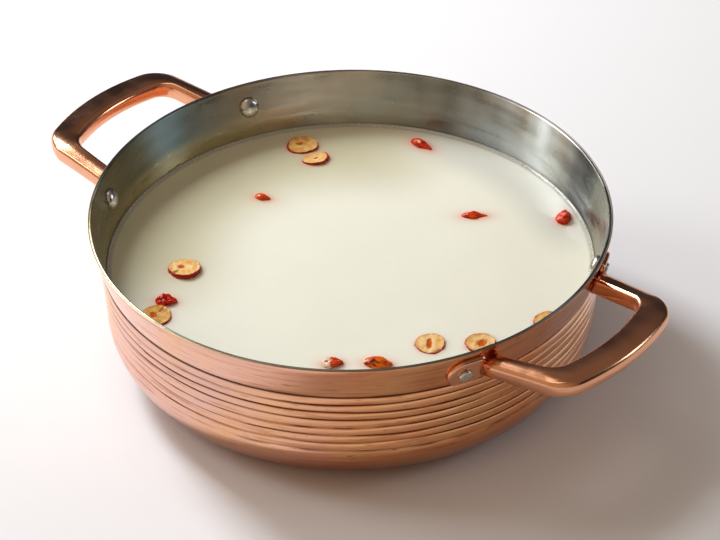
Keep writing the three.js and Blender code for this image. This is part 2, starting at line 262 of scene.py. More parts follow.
def groove_depth(groove, azimuth, depth):
    """Depth of a groove, which grows shallow in places."""
    if groove == len(GROOVES):
        return depth * 0.9
    change = 0.85 + 0.5 * slow_noise(azimuth, groove + 40, 2.4)
    return depth * min(max(change, 0.12), 1.15)


def painted_groove_shade(azimuth, height):
    """Painted shade on the metal at a height: 1 in the middle of a groove of full depth, 0 on a
    crest.
    """
    tone, highlight_side = 0.0, max(cos(azimuth - radians(ROSY_HIGHLIGHT_BEARING)), 0.0)
    for groove in range(len(GROOVES) + 1):
        upper = groove >= FIRST_UPPER_GROOVE
        strength = groove_depth(groove, azimuth, 1.0) if groove < len(GROOVES) else 0.95
        broken = 0.3 + 0.9 * slow_noise(azimuth, groove + 60, 9) + 0.13 * groove
        broken += 1.3 * highlight_side * upper
        width = 0.00036 + 0.00016 * slow_noise(azimuth, groove + 80, 6) + 0.00003 * groove
        width += (0.00055 if upper else 0.0002) * highlight_side
        gap = (height - groove_place(groove, azimuth)) / width
        dark = min(strength, 1.0) * min(max(broken, 0.0), 1.0) * max(0.0, 1 - gap * gap)
        tone = max(tone, dark)
    return tone


def rib_profile(azimuth, depth):
    """The ribbed wall from the lowest groove up to the band's foot."""
    points = []
    for groove in range(len(GROOVES)):
        low, high = groove_place(groove, azimuth), groove_place(groove + 1, azimuth)
        low_depth = groove_depth(groove, azimuth, depth)
        high_depth = groove_depth(groove + 1, azimuth, depth)
        for share, sink in RIB_ROWS:
            height = blend(low, high, share)
            inset = sink * (low_depth if share < 0.5 else high_depth)
            points.append((wall_radius(height, inset), height))
    return points


def shell_profile(azimuth, settings):
    """The copper outside, from the middle of the base up to the rim and back down inside it."""
    sink = settings.copper_thickness
    lowest = groove_place(0, azimuth)
    points = [(0, 0), (0.04, 0), (0.08, 0), (0.1, 0)]
    sweep = pi / 2 - asin((CORNER_RADIUS - lowest + 0.0012) / CORNER_RADIUS)
    points += corner_arc(0, sweep, 18)
    points += rib_profile(azimuth, settings.rib_depth)
    points += [
        (wall_radius(BAND_FOOT, settings.rib_depth * 0.75), BAND_FOOT),
        (BAND_FOOT_RADIUS - 0.0001, BAND_FOOT + 0.0003),
        (BAND_FOOT_RADIUS + 0.00025, BAND_FOOT + 0.0009),
    ]
    for share in (0.12, 0.25, 0.4, 0.55, 0.7, 0.82, 0.9):
        height = blend(BAND_FOOT, HEIGHT - 0.0006, share)
        points.append((band_radius(height), height))
    soft = 0.00035
    points += arc(RIM_RADIUS - soft, HEIGHT - soft - 0.00003, soft, (0, 20, 40, 60, 80))
    points += [
        (RIM_RADIUS - 0.0009, HEIGHT - 0.00012),
        (RIM_RADIUS - 0.001, HEIGHT - 0.0012),
        (BAND_FOOT_RADIUS - sink, BAND_FOOT),
    ]
    points += corner_arc(sink, pi / 2, 12)[::-1]
    points.append((0, sink))
    return points


def lining_profile(settings):
    """The steel inside, from the middle of the base up to the rim and back down in the wall."""
    sink = settings.copper_thickness + 0.0001
    foot = BAND_FOOT - 0.0011
    points = [(0, WALL)] + corner_arc(WALL, pi / 2, 24)
    points += [(wall_radius(h, WALL), h) for h in (0.045, 0.052, 0.058, 0.062, 0.065, 0.0675)]
    for share, out in ((0.0, 0.0), (0.25, 0.00006), (0.5, 0.0002), (0.75, 0.00042), (1.0, 0.0007)):
        height = blend(foot - 0.0018, foot + 0.0018, share)
        points.append((wall_radius(foot, WALL) + out - 0.00004, height))
    for share in (0.2, 0.35, 0.5, 0.65, 0.8, 0.92):
        height = blend(BAND_FOOT, HEIGHT - 0.0007, share)
        points.append((band_radius(height) - WALL - 0.0001, height))
    soft = 0.0007
    points += arc(RIM_RADIUS - WALL + soft, HEIGHT - soft, soft, (180, 160, 140, 120, 100))
    points += [
        (RIM_RADIUS - 0.0011, HEIGHT - 0.00005),
        (RIM_RADIUS - 0.0010, HEIGHT - 0.0003),
        (RIM_RADIUS - 0.0011, HEIGHT - 0.0014),
        (BAND_FOOT_RADIUS - sink, BAND_FOOT),
    ]
    points += corner_arc(sink, pi / 2, 12)[::-1]
    points.append((0, sink))
    return points


# ---------------------------------------------------------------- handles and rivets

# Each edge of the loop in plan: half its width at the root and at the corner, how far out the
# corner is, and how much of each side the bend at the corner takes.
LOOP_OUTER = {"half": 0.0553, "reach": 0.1925, "corner_half": 0.05, "bend": 0.013}
LOOP_INNER = {"half": 0.0431, "reach": 0.176, "corner_half": 0.0393, "bend": 0.0075}
LOOP_ROOT = 0.136
LOOP_ROOT_DROP = 0.013  # from the rim down to the middle of the root
LOOP_RISE = 0.108  # rise over reach
GRIP_SLANT = 0.287  # how much the grip bows outward
BEND_FULLNESS = 0.55
ARM_STEPS, BEND_STEPS, GRIP_STEPS = 8, 18, 22
EDGE_TURNS = (0, 11, 22, 33, 45, 57, 68, 79, 90)

# The rivet's flat head on the ear and its dome inside the pan. The rows give the share of the
# radius and of the height, from the edge to the top.
FLAT_HEAD = {"radius": 0.0041, "height": 0.0017}
FLAT_ROWS = (
    (1.0, 0), (1.0, 0.35), (0.985, 0.6), (0.95, 0.78), (0.88, 0.9), (0.75, 0.96), (0.5, 0.99),
    (0.2, 1),
)
DOMED_HEAD = {"radius": 0.0062, "height": 0.0038}
DOMED_ROWS = [(1.0, 0.0)]
DOMED_ROWS += [(cos(a) ** 0.9, 0.1 + 0.9 * sin(a)) for a in np.linspace(0, pi / 2, 16)[:-1]]


def line(a, b, steps):
    """Points from a to b."""
    return [a.lerp(b, step / steps) for step in range(steps + 1)]


def loop_edge(edge):
    """Half of one edge of the loop in plan, from the root to the middle of the grip."""
    root = Vector((LOOP_ROOT, -edge["half"]))
    corner = Vector((edge["reach"], -edge["corner_half"]))
    crown = Vector((edge["reach"] + GRIP_SLANT * edge["corner_half"], 0))
    arm_end = corner.lerp(root, edge["bend"] / (corner - root).length)
    grip_start = corner.lerp(crown, edge["bend"] / (corner - crown).length)
    near = arm_end.lerp(corner, BEND_FULLNESS)
    far = grip_start.lerp(corner, BEND_FULLNESS)
    bend = []
    for step in range(BEND_STEPS + 1):
        t = step / BEND_STEPS
        u = 1 - t
        bend.append(
            arm_end * u**3 + near * 3 * t * u**2 + far * 3 * t**2 * u + grip_start * t**3
        )
    grip_end = Vector((grip_start.x, -grip_start.y))
    grip = []
    for step in range(GRIP_STEPS + 1):
        t = step / (2 * GRIP_STEPS)
        grip.append(grip_start * (1 - t) ** 2 + crown * 2 * t * (1 - t) + grip_end * t**2)
    return line(root, arm_end, ARM_STEPS)[:-1] + bend[:-1] + grip


def loop_height(reach):
    """Height of the loop's middle line."""
    root = HEIGHT - LOOP_ROOT_DROP
    return root + LOOP_RISE * (reach - band_radius(root))


def loop_section(width, thickness, round_edge, crown):
    """(across, up) pairs round a bar's section, with rounded corners and crowned faces."""
    half_width, half_height = width / 2 - crown * 0.5, thickness / 2 - crown
    points = []
    for sign_across, sign_up, start in ((1, -1, -90), (1, 1, 0), (-1, 1, 90), (-1, -1, 180)):
        across, up = sign_across * (half_width - round_edge), sign_up * (half_height - round_edge)
        points += arc(across, up, round_edge, [start + turn for turn in EDGE_TURNS])
        if start in (-90, 90):
            for share in (0.25, 0.5, 0.75):
                swell = crown * 0.5 * (1 - (2 * share - 1) ** 2)
                points.append((sign_across * (half_width + swell), up * (1 - 2 * share)))
        else:
            for share in (0.125, 0.25, 0.375, 0.5, 0.625, 0.75, 0.875):
                swell = crown * (1 - (2 * share - 1) ** 2)
                points.append((across * (1 - 2 * share), sign_up * (half_height + swell)))
    return points


def loop_stations():
    """Outer edge, inner edge and share of grip at each station round the loop."""
    outer, inner = loop_edge(LOOP_OUTER), loop_edge(LOOP_INNER)
    near = []
    for step, (out, inn) in enumerate(zip(outer, inner)):
        near.append((out, inn, ease((step - ARM_STEPS) / BEND_STEPS)))
    far = []
    for out, inn, grip in reversed(near[:-1]):
        far.append((Vector((out.x, -out.y)), Vector((inn.x, -inn.y)), grip))
    return near + far


def loop_rings(settings):
    """Rings of points round the loop; its ends are cut to the band, and no ring lies within it."""
    rings = []
    for out, inn, grip in loop_stations():
        plan = (out - inn).normalized()
        lean = blend(settings.arm_lean, settings.grip_lean, grip)
        across = Vector((plan.x, plan.y, lean)).normalized()
        forward = Vector((-plan.y, plan.x, -plan.y * LOOP_RISE))
        up = across.cross(forward).normalized()
        middle = out.lerp(inn, 0.5)
        centre = Vector((middle.x, middle.y, loop_height(middle.x)))
        thickness = blend(settings.arm_thickness, settings.grip_thickness, grip)
        section = loop_section((out - inn).length, thickness, settings.edge_round, settings.crown)
        rings.append([centre + across * side + up * rise for side, rise in section])
    for end, inside, outside in ((0, 0, ARM_STEPS - 1), (-1, -1, -ARM_STEPS)):
        rings[end] = [meet_band(a, b) for a, b in zip(rings[inside], rings[outside])]
    keep = [rings[0]]
    for ring in rings[1:-1]:
        if min(sqrt(p.x**2 + p.y**2) - band_radius(p.z) for p in ring) > 0.001:
            keep.append(ring)
    keep.append(rings[-1])
    return keep


def meet_band(inside, outside):
    """Where the line between two points comes to the gap off the band's outer face."""
    low, high = 0.0, 1.0
    for _ in range(40):
        share = (low + high) / 2
        point = inside.lerp(outside, share)
        if sqrt(point.x**2 + point.y**2) > band_radius(point.z) + EAR_GAP:
            high = share
        else:
            low = share
    return inside.lerp(outside, high)


def lofted(rings):
    """Points and faces of a closed body through rings, with a flat end on each."""
    sides = len(rings[0])
    points = [p for ring in rings for p in ring]
    faces = ring_faces(len(rings), sides)
    faces.append(tuple(range(sides))[::-1])
    faces.append(tuple(range((len(rings) - 1) * sides, len(rings) * sides)))
    return points, faces


def band_frame(azimuth):
    """Origin on the band's outer face at a rivet, with its along, up and outward directions."""
    height = HEIGHT - RIVET_DROP
    reach = band_radius(height)
    origin = Vector((cos(azimuth) * reach, sin(azimuth) * reach, height))
    level, drop = cos(BAND_SLOPE), sin(BAND_SLOPE)
    outward = Vector((cos(azimuth) * level, sin(azimuth) * level, -drop))
    along = Vector((-sin(azimuth), cos(azimuth), 0))
    return origin, along, outward.cross(along), outward


def on_band(azimuth, along, up, out):
    """A point given by its way round the band, up its slope and out of it."""
    height = HEIGHT - RIVET_DROP + up * cos(BAND_SLOPE)
    radius = band_radius(height)
    turn = azimuth + along / radius
    reach = radius + out * cos(BAND_SLOPE)
    return Vector((reach * cos(turn), reach * sin(turn), height - out * sin(BAND_SLOPE)))


def ear_outline(side, settings, inset):
    """Outline of the riveted ear round the rivet, drawn in by an inset: (along, up) pairs."""
    radius, below = settings.ear_radius - inset, settings.ear_below - inset
    inboard = -side * settings.ear_inboard
    drop = asin(min(below / radius, 1))
    points = []
    for step in range(30):
        angle = -drop + (pi / 2 + drop) * step / 29
        points.append((side * radius * cos(angle), radius * sin(angle)))
    points += [(inboard * share, radius) for share in (0.25, 0.5, 0.75, 1)]
    points += [(inboard, blend(radius, -below, share)) for share in (0.25, 0.5, 0.75)]
    outboard = side * radius * cos(drop)
    points += [(blend(inboard, outboard, share), -below) for share in (0, 0.3, 0.6, 0.9)]
    return points


def ear_shell(side, settings):
    """The riveted ear: a plate on the band with a round end and a rounded edge."""
    azimuth, face = side * RIVET_AZIMUTH, EAR_GAP + EAR_THICKNESS
    soft = settings.ear_edge
    layers = [(0.0, EAR_GAP)]
    for turn in (0, 15, 30, 45, 60, 75, 90):
        a = radians(turn)
        layers.append((soft * (1 - cos(a)), face - soft + soft * sin(a)))
    rings = []
    for inset, out in layers:
        rings.append([on_band(azimuth, x, y, out) for x, y in ear_outline(side, settings, inset)])
    top = ear_outline(side, settings, soft)
    for share in (0.75, 0.5, 0.25):
        rings.append([on_band(azimuth, x * share, y * share, face) for x, y in top])
    return lofted(rings)


def rivet_head(azimuth, rows, base, rise, radius, height):
    """A turned head with its edge at base, which rises outward if rise is 1 and inward if -1."""
    origin, along, up, outward = band_frame(azimuth)
    sides = 48
    rings = []
    for share, lift in rows:
        middle = outward * (base + rise * height * lift)
        ring = []
        for side in range(sides):
            a = tau * side / sides
            x, y = radius * share * cos(a), radius * share * sin(a)
            ring.append(origin + along * x + up * y + middle)
        rings.append(ring)
    return lofted(rings)


# ---------------------------------------------------------------- materials

# Painted highlights, reflections and shade on the lining: factors on its colour at some bearings
# round the pan, in degrees.
LINING_PAINTED_LIGHT = (
    (0, (0.5, 0.5, 0.5)),
    (44, (0.8, 0.77, 0.65)),
    (51, (0.6, 0.6, 0.54)),
    (57, (0.22, 0.23, 0.23)),
    (64, (0.3, 0.31, 0.32)),
    (71, (1.3, 1.36, 1.42)),
    (78, (1.68, 1.82, 2.0)),
    (92, (1.1, 1.22, 1.42)),
    (105, (0.55, 0.57, 0.58)),
    (134, (1.2, 1.17, 1.12)),
    (156, (0.95, 0.8, 0.64)),
    (176, (0.5, 0.66, 0.77)),
    (194, (0.52, 0.52, 0.4)),
    (214, (0.9, 0.86, 0.64)),
    (330, (0.8, 0.8, 0.75)),
    (360, (0.5, 0.5, 0.5)),
)


# Fixed tones within the finishes.
BRIGHT_STREAK = (0.94, 0.6, 0.38, 1.0)
DARK_SCRATCH = (0.26, 0.075, 0.03, 1.0)
BROWN_SMEAR = (0.5, 0.39, 0.27, 1.0)
BLUE_SMEAR = (0.42, 0.49, 0.5, 1.0)
# Painted golden light low on the lining on one side.
GOLD_LIGHT = (0.68, 0.58, 0.33, 1.0)


class Nodes:
    """The nodes of a material or of the world, added one at a time."""

    def __init__(self, tree):
        self.tree = tree
        self.column = 0

    def node(self, kind, inputs=None, **settings):
        made = self.tree.nodes.new(kind)
        self.column += 1
        made.location = (-220 * self.column, 0)
        for key, value in settings.items():
            setattr(made, key, value)
        for key, value in (inputs or {}).items():
            self.set(made.inputs[key], value)
        return made

    def set(self, socket, value):
        if isinstance(value, bpy.types.NodeSocket):
            self.tree.links.new(value, socket)
        else:
            socket.default_value = value

    def math(self, operation, *values):
        made = self.node("ShaderNodeMath", operation=operation)
        for socket, value in zip(made.inputs, values):
            self.set(socket, value)
        return made.outputs[0]

    def add(self, a, b):
        return self.math("ADD", a, b)

    def times(self, a, b):
        return self.math("MULTIPLY", a, b)

    def mix(self, factor, a, b, how="MIX"):
        made = self.node("ShaderNodeMix", data_type="RGBA", blend_type=how)
        for socket, value in ((0, factor), (6, a), (7, b)):
            self.set(made.inputs[socket], value)
        return made.outputs[2]

    def range(self, value, low, high, to_low=0.0, to_high=1.0):
        limits = {"From Min": low, "From Max": high, "To Min": to_low, "To Max": to_high}
        return self.node("ShaderNodeMapRange", {"Value": value, **limits}).outputs["Result"]

    def layer(self, tone, over, value, low, high, most=1.0):
        """A tone with another over it, from none where value is low to most where it is high."""
        return self.mix(self.range(value, low, high, 0.0, most), tone, over)

    def ramp(self, value, tones):
        """Tones given as (place from 0 to 1, colour), read at a value."""
        made = self.node("ShaderNodeValToRGB", {0: value})
        stops = made.color_ramp.elements
        while len(stops) < len(tones):
            stops.new(0.5)
        for stop, (place, tone) in zip(stops, tones):
            stop.position, stop.color = place, (*tone, 1)
        return made.outputs[0]

    def noise(self, vector, scale, detail=3.0, roughness=0.5):
        inputs = {"Vector": vector, "Scale": scale, "Detail": detail, "Roughness": roughness}
        return self.node("ShaderNodeTexNoise", inputs).outputs["Fac"]

    def place(self, kind="Object"):
        return self.node("ShaderNodeTexCoord").outputs[kind]

    def split(self, vector):
        return self.node("ShaderNodeSeparateXYZ", {"Vector": vector}).outputs

    def attribute(self, name):
        return self.node("ShaderNodeAttribute", attribute_name=name).outputs["Fac"]


class Shader(Nodes):
    """A material and its nodes, with coordinates that run round the pot."""

    def __init__(self, name):
        self.material = bpy.data.materials.new(name)
        self.material.use_nodes = True
        super().__init__(self.material.node_tree)
        self.surface = self.tree.nodes["Principled BSDF"]

    def put(self, **values):
        """Sets sockets of the surface; an underscore stands for a space."""
        for key, value in values.items():
            self.set(self.surface.inputs[key.replace("_", " ")], value)

    def round_parts(self):
        """Cosine and sine of the bearing round the pot, height and distance from the axis."""
        x, y, z = self.split(self.place())
        reach = self.math("SQRT", self.add(self.times(x, x), self.times(y, y)))
        reach = self.math("MAXIMUM", reach, 0.0001)
        return self.math("DIVIDE", x, reach), self.math("DIVIDE", y, reach), z, reach

    def turned_place(self, round_scale, height_scale):
        """Coordinates that run round the pot's axis and up it, with no seam."""
        cosine, sine, z, reach = self.round_parts()
        joined = self.node("ShaderNodeCombineXYZ")
        rise = self.times(self.add(z, self.times(reach, 0.6)), height_scale)
        for socket, part, slant in zip(joined.inputs, (cosine, sine), (0.17, -0.29)):
            self.set(socket, self.add(self.times(part, round_scale), self.times(rise, slant)))
        self.set(joined.inputs[2], rise)
        return joined.outputs[0]

    def facing(self, bearing, low, high):
        """0 to 1 as the bearing comes near a given one; low and high are cosines of the gap."""
        cosine, sine, _, _ = self.round_parts()
        along = self.times(cosine, cos(radians(bearing)))
        across = self.times(sine, sin(radians(bearing)))
        return self.range(self.add(along, across), low, high)

    def tangent(self):
        """Sets the surface's grain to run round the pot."""
        made = self.node("ShaderNodeTangent", direction_type="RADIAL", axis="Z")
        self.put(Tangent=made.outputs["Tangent"])

    def bump(self, height, strength, distance):
        inputs = {"Height": height, "Strength": strength, "Distance": distance}
        self.put(Normal=self.node("ShaderNodeBump", inputs).outputs["Normal"])


def rgb(colour):
    """A colour property as a socket's four numbers."""
    return (*colour[:3], 1.0)


def shade(colour, share):
    """A colour made darker or lighter."""
    return (*(min(c * share, 1.0) for c in colour[:3]), 1.0)


def copper_material(name, settings):
    """Turned copper, streaked and scratched; painted shade below and in grooves, a painted rosy
    highlight on one side.
    """
    s = Shader(name)
    height = s.round_parts()[2]
    lines = s.noise(s.turned_place(4.0, 900.0), 1.0, 3.0, 0.6)
    streaks = s.noise(s.turned_place(3.4, 420.0), 1.0, 4.0, 0.65)
    scratches = s.noise(s.turned_place(11.0, 760.0), 1.0, 3.0, 0.6)
    clouds = s.noise(s.place(), 14.0, 3.0, 0.55)
    # Painted highlight: the side that faces the key light is paler and rosier.
    rosy = s.facing(ROSY_HIGHLIGHT_BEARING, 0.6, 0.95)
    tone = s.mix(rosy, rgb(settings.copper), rgb(settings.rosy))
    # Painted reflection: the side by the right handle is pinker, as if lit from the right.
    tone = s.mix(s.facing(PINK_REFLECTION_BEARING, 0.8, 0.93), tone, rgb(settings.pink))
    tone = s.layer(tone, rgb(settings.golden), clouds, 0.48, 0.64, 0.7)
    tone = s.layer(tone, rgb(settings.browned_and_shaded), streaks, 0.52, 0.72, 0.7)
    tone = s.layer(tone, BRIGHT_STREAK, streaks, 0.43, 0.28, 0.45)
    tone = s.layer(tone, DARK_SCRATCH, scratches, 0.64, 0.7, 0.6)
    # Painted shade: the copper turns browner and darker towards its lower edge.
    tone = s.layer(tone, rgb(settings.browned_and_shaded), height, 0.031, 0.011, 0.95)
    # Painted shade: dark lines along the grooves.
    tone = s.mix(s.attribute("groove"), tone, rgb(settings.groove))
    # Painted dark reflection on the rim's lip, with a painted golden highlight on the side that
    # faces the light.
    lip_highlight_side = s.facing(ROSY_HIGHLIGHT_BEARING - 8, 0.7, 0.92)
    lip = s.mix(lip_highlight_side, rgb(settings.lip), rgb(settings.lip_highlight))
    tone = s.mix(s.attribute("lip"), tone, lip)
    s.put(Base_Color=tone, Metallic=1.0, Anisotropic=0.35, Anisotropic_Rotation=0.25)
    rough = settings.copper_roughness
    worn = s.range(lines, 0.3, 0.7, rough * 0.8, rough * 1.2)
    worn = s.add(worn, s.range(streaks, 0.35, 0.7, -0.03, 0.1))
    s.put(Roughness=s.math("MAXIMUM", worn, s.times(s.attribute("lip"), 0.5)))
    s.tangent()
    s.bump(s.add(lines, s.times(streaks, 2.0)), 0.06, 0.0002)
    return s.material


def handle_material(name, colour, roughness):
    """Cast and polished copper: smooth, with a slow unevenness, small dents and dulled patches."""
    s = Shader(name)
    place = s.place()
    clouds = s.noise(place, 48.0, 2.0, 0.5)
    specks = s.noise(place, 420.0, 2.0, 0.5)
    dents = s.noise(place, 85.0, 2.0, 0.4)
    tone = s.layer(shade(colour, 0.88), rgb(colour), clouds, 0.35, 0.7)
    tone = s.layer(tone, shade(colour, 0.7), specks, 0.62, 0.72, 0.2)
    s.put(Base_Color=tone, Metallic=1.0)
    dulled = s.range(clouds, 0.38, 0.64, roughness * 0.8, roughness * 1.3)
    s.put(Roughness=s.add(dulled, s.range(specks, 0.5, 0.7, 0.0, 0.03)))
    s.bump(s.add(dents, s.times(specks, 0.04)), 0.09, 0.0005)
    return s.material


def lining_material(name, colour, roughness):
    """Satin steel brushed round the wall, with soft streaks up it, worn places, heat tints and
    painted light and shade.
    """
    s = Shader(name)
    place = s.place()
    streaks = s.noise(s.turned_place(11.0, 12.0), 1.0, 2.0, 0.5)
    marks = s.noise(s.turned_place(3.0, 240.0), 1.0, 0.0, 0.5)
    rubs = s.noise(s.turned_place(5.0, 110.0), 1.0, 0.0, 0.5)
    smears = s.noise(place, 17.0, 3.0, 0.6)
    x, y, z = s.split(place)
    turn = s.math("DIVIDE", s.math("ARCTAN2", y, x), tau)
    # Painted highlights, reflections and shade by bearing round the wall.
    painted_light_tones = [(bearing / 360, tone) for bearing, tone in LINING_PAINTED_LIGHT]
    painted_light = s.ramp(s.math("WRAP", turn, 1.0, 0.0), painted_light_tones)
    tone = s.layer(shade(colour, 0.88), rgb(colour), streaks, 0.38, 0.66)
    tone = s.mix(s.range(rubs, 0.4, 0.62, 0.35, 0.0), tone, shade(colour, 0.55))
    tone = s.layer(tone, shade(colour, 0.7), marks, 0.45, 0.7, 0.15)
    tone = s.layer(tone, BROWN_SMEAR, smears, 0.52, 0.68, 0.5)
    tone = s.layer(tone, BLUE_SMEAR, smears, 0.46, 0.33, 0.4)
    tone = s.mix(1.0, tone, painted_light, "MULTIPLY")
    # Painted golden light: lighter and warmer low on the wall on one side.
    painted_band = s.times(s.range(z, 0.077, 0.067, 0.0, 0.85), s.facing(GOLD_LIGHT_BEARING, 0.55, 0.9))
    s.put(Base_Color=s.mix(painted_band, tone, GOLD_LIGHT))
    s.put(Metallic=1.0, Anisotropic=0.7, Anisotropic_Rotation=0.25)
    brushed = s.range(streaks, 0.3, 0.7, roughness * 0.85, roughness * 1.2)
    rubbed = s.range(rubs, 0.3, 0.7, -0.05, 0.08)
    marked = s.range(marks, 0.3, 0.7, -0.03, 0.03)
    s.put(Roughness=s.add(brushed, s.add(rubbed, marked)))
    s.tangent()
    s.bump(marks, 0.02, 0.0002)
    return s.material


def rivet_material(name, colour, roughness):
    """Pale steel with a finely pitted skin."""
    s = Shader(name)
    grain = s.noise(s.place(), 900.0, 3.0)
    s.put(Base_Color=s.layer(shade(colour, 0.9), rgb(colour), grain, 0.35, 0.7), Metallic=1.0)
    s.put(Roughness=s.range(grain, 0.3, 0.7, roughness * 0.85, roughness * 1.2))
    s.bump(grain, 0.06, 0.0002)
    return s.material


def broth_material(name, settings):
    """Milky broth: soft clouds, a painted red glow by the dates and berries, painted shade by the
    wall, and a wet surface.
    """
    s = Shader(name)
    place = s.place()
    clouds = s.noise(place, 26.0, 3.0, 0.55)
    tone = s.layer(shade(settings.colour, 0.975), rgb(settings.colour), clouds, 0.35, 0.7)
    # Painted shadow, shade and red glow, laid over the broth's colour.
    for zone in ("deep", "far", "tint", "edge"):
        tone = s.mix(s.attribute(zone), tone, rgb(getattr(settings, zone)))
    s.put(Base_Color=tone, Roughness=settings.gloss, IOR=1.34)
    s.put(Subsurface_Weight=0.25, Subsurface_Scale=0.004, Subsurface_Radius=(1.0, 0.9, 0.7))
    s.bump(s.noise(place, 55.0, 2.0), 0.05, 0.0006)
    return s.material


def date_material(name, settings):
    """Cut date: wrinkled red skin, golden flesh and the orange slot where the stone was."""
    s = Shader(name)
    place = s.place()
    fibres = s.noise(place, 1100.0, 4.0, 0.65)
    patches = s.noise(place, 260.0, 3.0, 0.6)
    spots = s.noise(place, 430.0, 2.0, 0.5)
    flesh = s.layer(rgb(settings.flesh), rgb(settings.flesh_pale), patches, 0.4, 0.6)
    amber = s.times(s.attribute("amber"), s.range(patches, 0.62, 0.42, 0.35, 1.0))
    flesh = s.mix(amber, flesh, rgb(settings.flesh_dark))
    flesh = s.layer(flesh, shade(settings.flesh, 1.15), fibres, 0.5, 0.75, 0.4)
    flesh = s.layer(flesh, rgb(settings.spot), spots, 0.64, 0.72, 0.6)
    flesh = s.mix(s.attribute("pale"), flesh, rgb(settings.ring))
    flesh = s.mix(s.attribute("slot"), flesh, rgb(settings.slot))
    flesh = s.mix(s.attribute("bruise"), flesh, rgb(settings.bruise))
    skin = s.layer(rgb(settings.skin), rgb(settings.skin_light), patches, 0.42, 0.6)
    s.put(Base_Color=s.mix(s.attribute("skin"), flesh, skin), Specular_IOR_Level=0.22)
    s.put(Roughness=s.range(s.attribute("skin"), 0.0, 1.0, 0.42, 0.25))
    s.put(Subsurface_Weight=0.1, Subsurface_Scale=0.001, Subsurface_Radius=(1.0, 0.5, 0.2))
    s.bump(s.add(fibres, s.times(patches, 1.5)), 0.35, 0.0003)
    return s.material


def goji_material(name, settings):
    """Goji berry: glossy red skin, orange where stretched, pale where split, painted shade in
    creases and painted dark glints.
    """
    s = Shader(name)
    place = s.place()
    patches = s.noise(place, 330.0, 3.0, 0.6)
    skin = s.layer(rgb(settings.goji), rgb(settings.goji_light), patches, 0.42, 0.6)
    skin = s.mix(s.attribute("orange"), skin, rgb(settings.goji_orange))
    skin = s.mix(s.attribute("pale"), skin, rgb(settings.goji_pale))
    # Painted shade in the creases and painted dark glints.
    skin = s.mix(s.attribute("fold"), skin, rgb(settings.goji_shade))
    s.put(Base_Color=skin, Specular_IOR_Level=0.28)
    s.put(Roughness=s.range(patches, 0.3, 0.7, 0.14, 0.3))
    s.put(Subsurface_Weight=0.06, Subsurface_Scale=0.001, Subsurface_Radius=(1.0, 0.2, 0.06))
    s.bump(s.noise(place, 800.0, 3.0, 0.6), 0.3, 0.0003)
    return s.material


def floor_material(name, colour):
    """Plain pale floor with the faintest grain."""
    s = Shader(name)
    grain = s.noise(s.place(), 40.0, 2.0)
    s.put(Base_Color=s.mix(grain, shade(colour, 0.985), rgb(colour)), Roughness=0.85)
    return s.material


# ---------------------------------------------------------------- food

# For each slice: bearing, half length and half width of the slot, its way off the middle and the
# bearing of that, how amber the flesh is, the bearing on which the skin shows broadest and how
# broad it is there. Lengths are shares of the slice, bearings are the pan's.
DATE_LOOKS = (
    (48, 0.28, 0.16, 0.2, 170, 0.75, 235, 1.3),
    (55, 0.22, 0.12, 0.0, 0, 0.0, 40, 1.7),
    (22, 0.26, 0.2, 0.2, 190, 0.25, 330, 1.5),
    (40, 0.3, 0.28, 0.2, 219, 1.0, 10, 0.6),
    (122, 0.52, 0.2, 0.06, 219, 0.05, 345, 1.2),
    (75, 0.42, 0.3, 0.08, 20, 0.4, 200, 0.5),
    (60, 0.3, 0.16, 0.0, 0, 0.5, 200, 0.5),
)

# Bruised patches: slice, bearing, way out, half length along that bearing and half width.
DATE_BRUISES = ((2, 262, 0.74, 0.3, 0.1), (4, 345, 0.86, 0.13, 0.34), (3, 100, 0.6, 0.3, 0.12))

# Rows from the middle of the underside to the middle of the cut face: radius, depth in shares of
# the thickness, rise in millimetres and how much of the row is skin.
DATE_ROWS = (
    (0, 1, 0, 1), (0.5, 1, 0, 1), (0.78, 1, 0, 1), (0.9, 0.9, 0, 1), (0.97, 0.72, 0, 1),
    (1, 0.5, 0, 1), (1, 0.3, 0, 1), (0.995, 0.16, 0, 1), (0.985, 0.06, 0.03, 1),
    (0.972, 0, 0.14, 1), (0.955, 0, 0.22, 0.9), (0.935, 0, 0.2, 0.5), (0.91, 0, 0.14, 0.2),
    (0.88, 0, 0.08, 0.06), (0.84, 0, 0.04, 0), (0.79, 0, 0, 0), (0.73, 0, 0, 0), (0.66, 0, 0.02, 0),
    (0.59, 0, 0.05, 0), (0.52, 0, 0.08, 0), (0.46, 0, 0.1, 0), (0.4, 0, 0.1, 0), (0.34, 0, 0.08, 0),
    (0.28, 0, 0.05, 0), (0.22, 0, 0, 0), (0.165, 0, 0, 0), (0.11, 0, 0, 0), (0.055, 0, 0, 0),
    (0, 0, 0, 0),
)


def surface_height():
    """Height of the broth over the base."""
    return bpy.context.scene.broth_settings.surface


def afloat(points, x, y, stand, bearing, tilt=0, tilt_to=0):
    """Points in millimetres about a piece's middle, laid on the broth, turned and tilted."""
    axis = Vector((-sin(radians(tilt_to)), cos(radians(tilt_to)), 0))
    place = (
        Matrix.Translation(Vector((x, y, 1000 * surface_height() + stand)) * MILLIMETRE)
        @ Matrix.Rotation(radians(tilt), 4, axis)
        @ Matrix.Rotation(radians(bearing), 4, "Z")
        @ Matrix.Scale(MILLIMETRE, 4)
    )
    return [place @ Vector(p) for p in points]


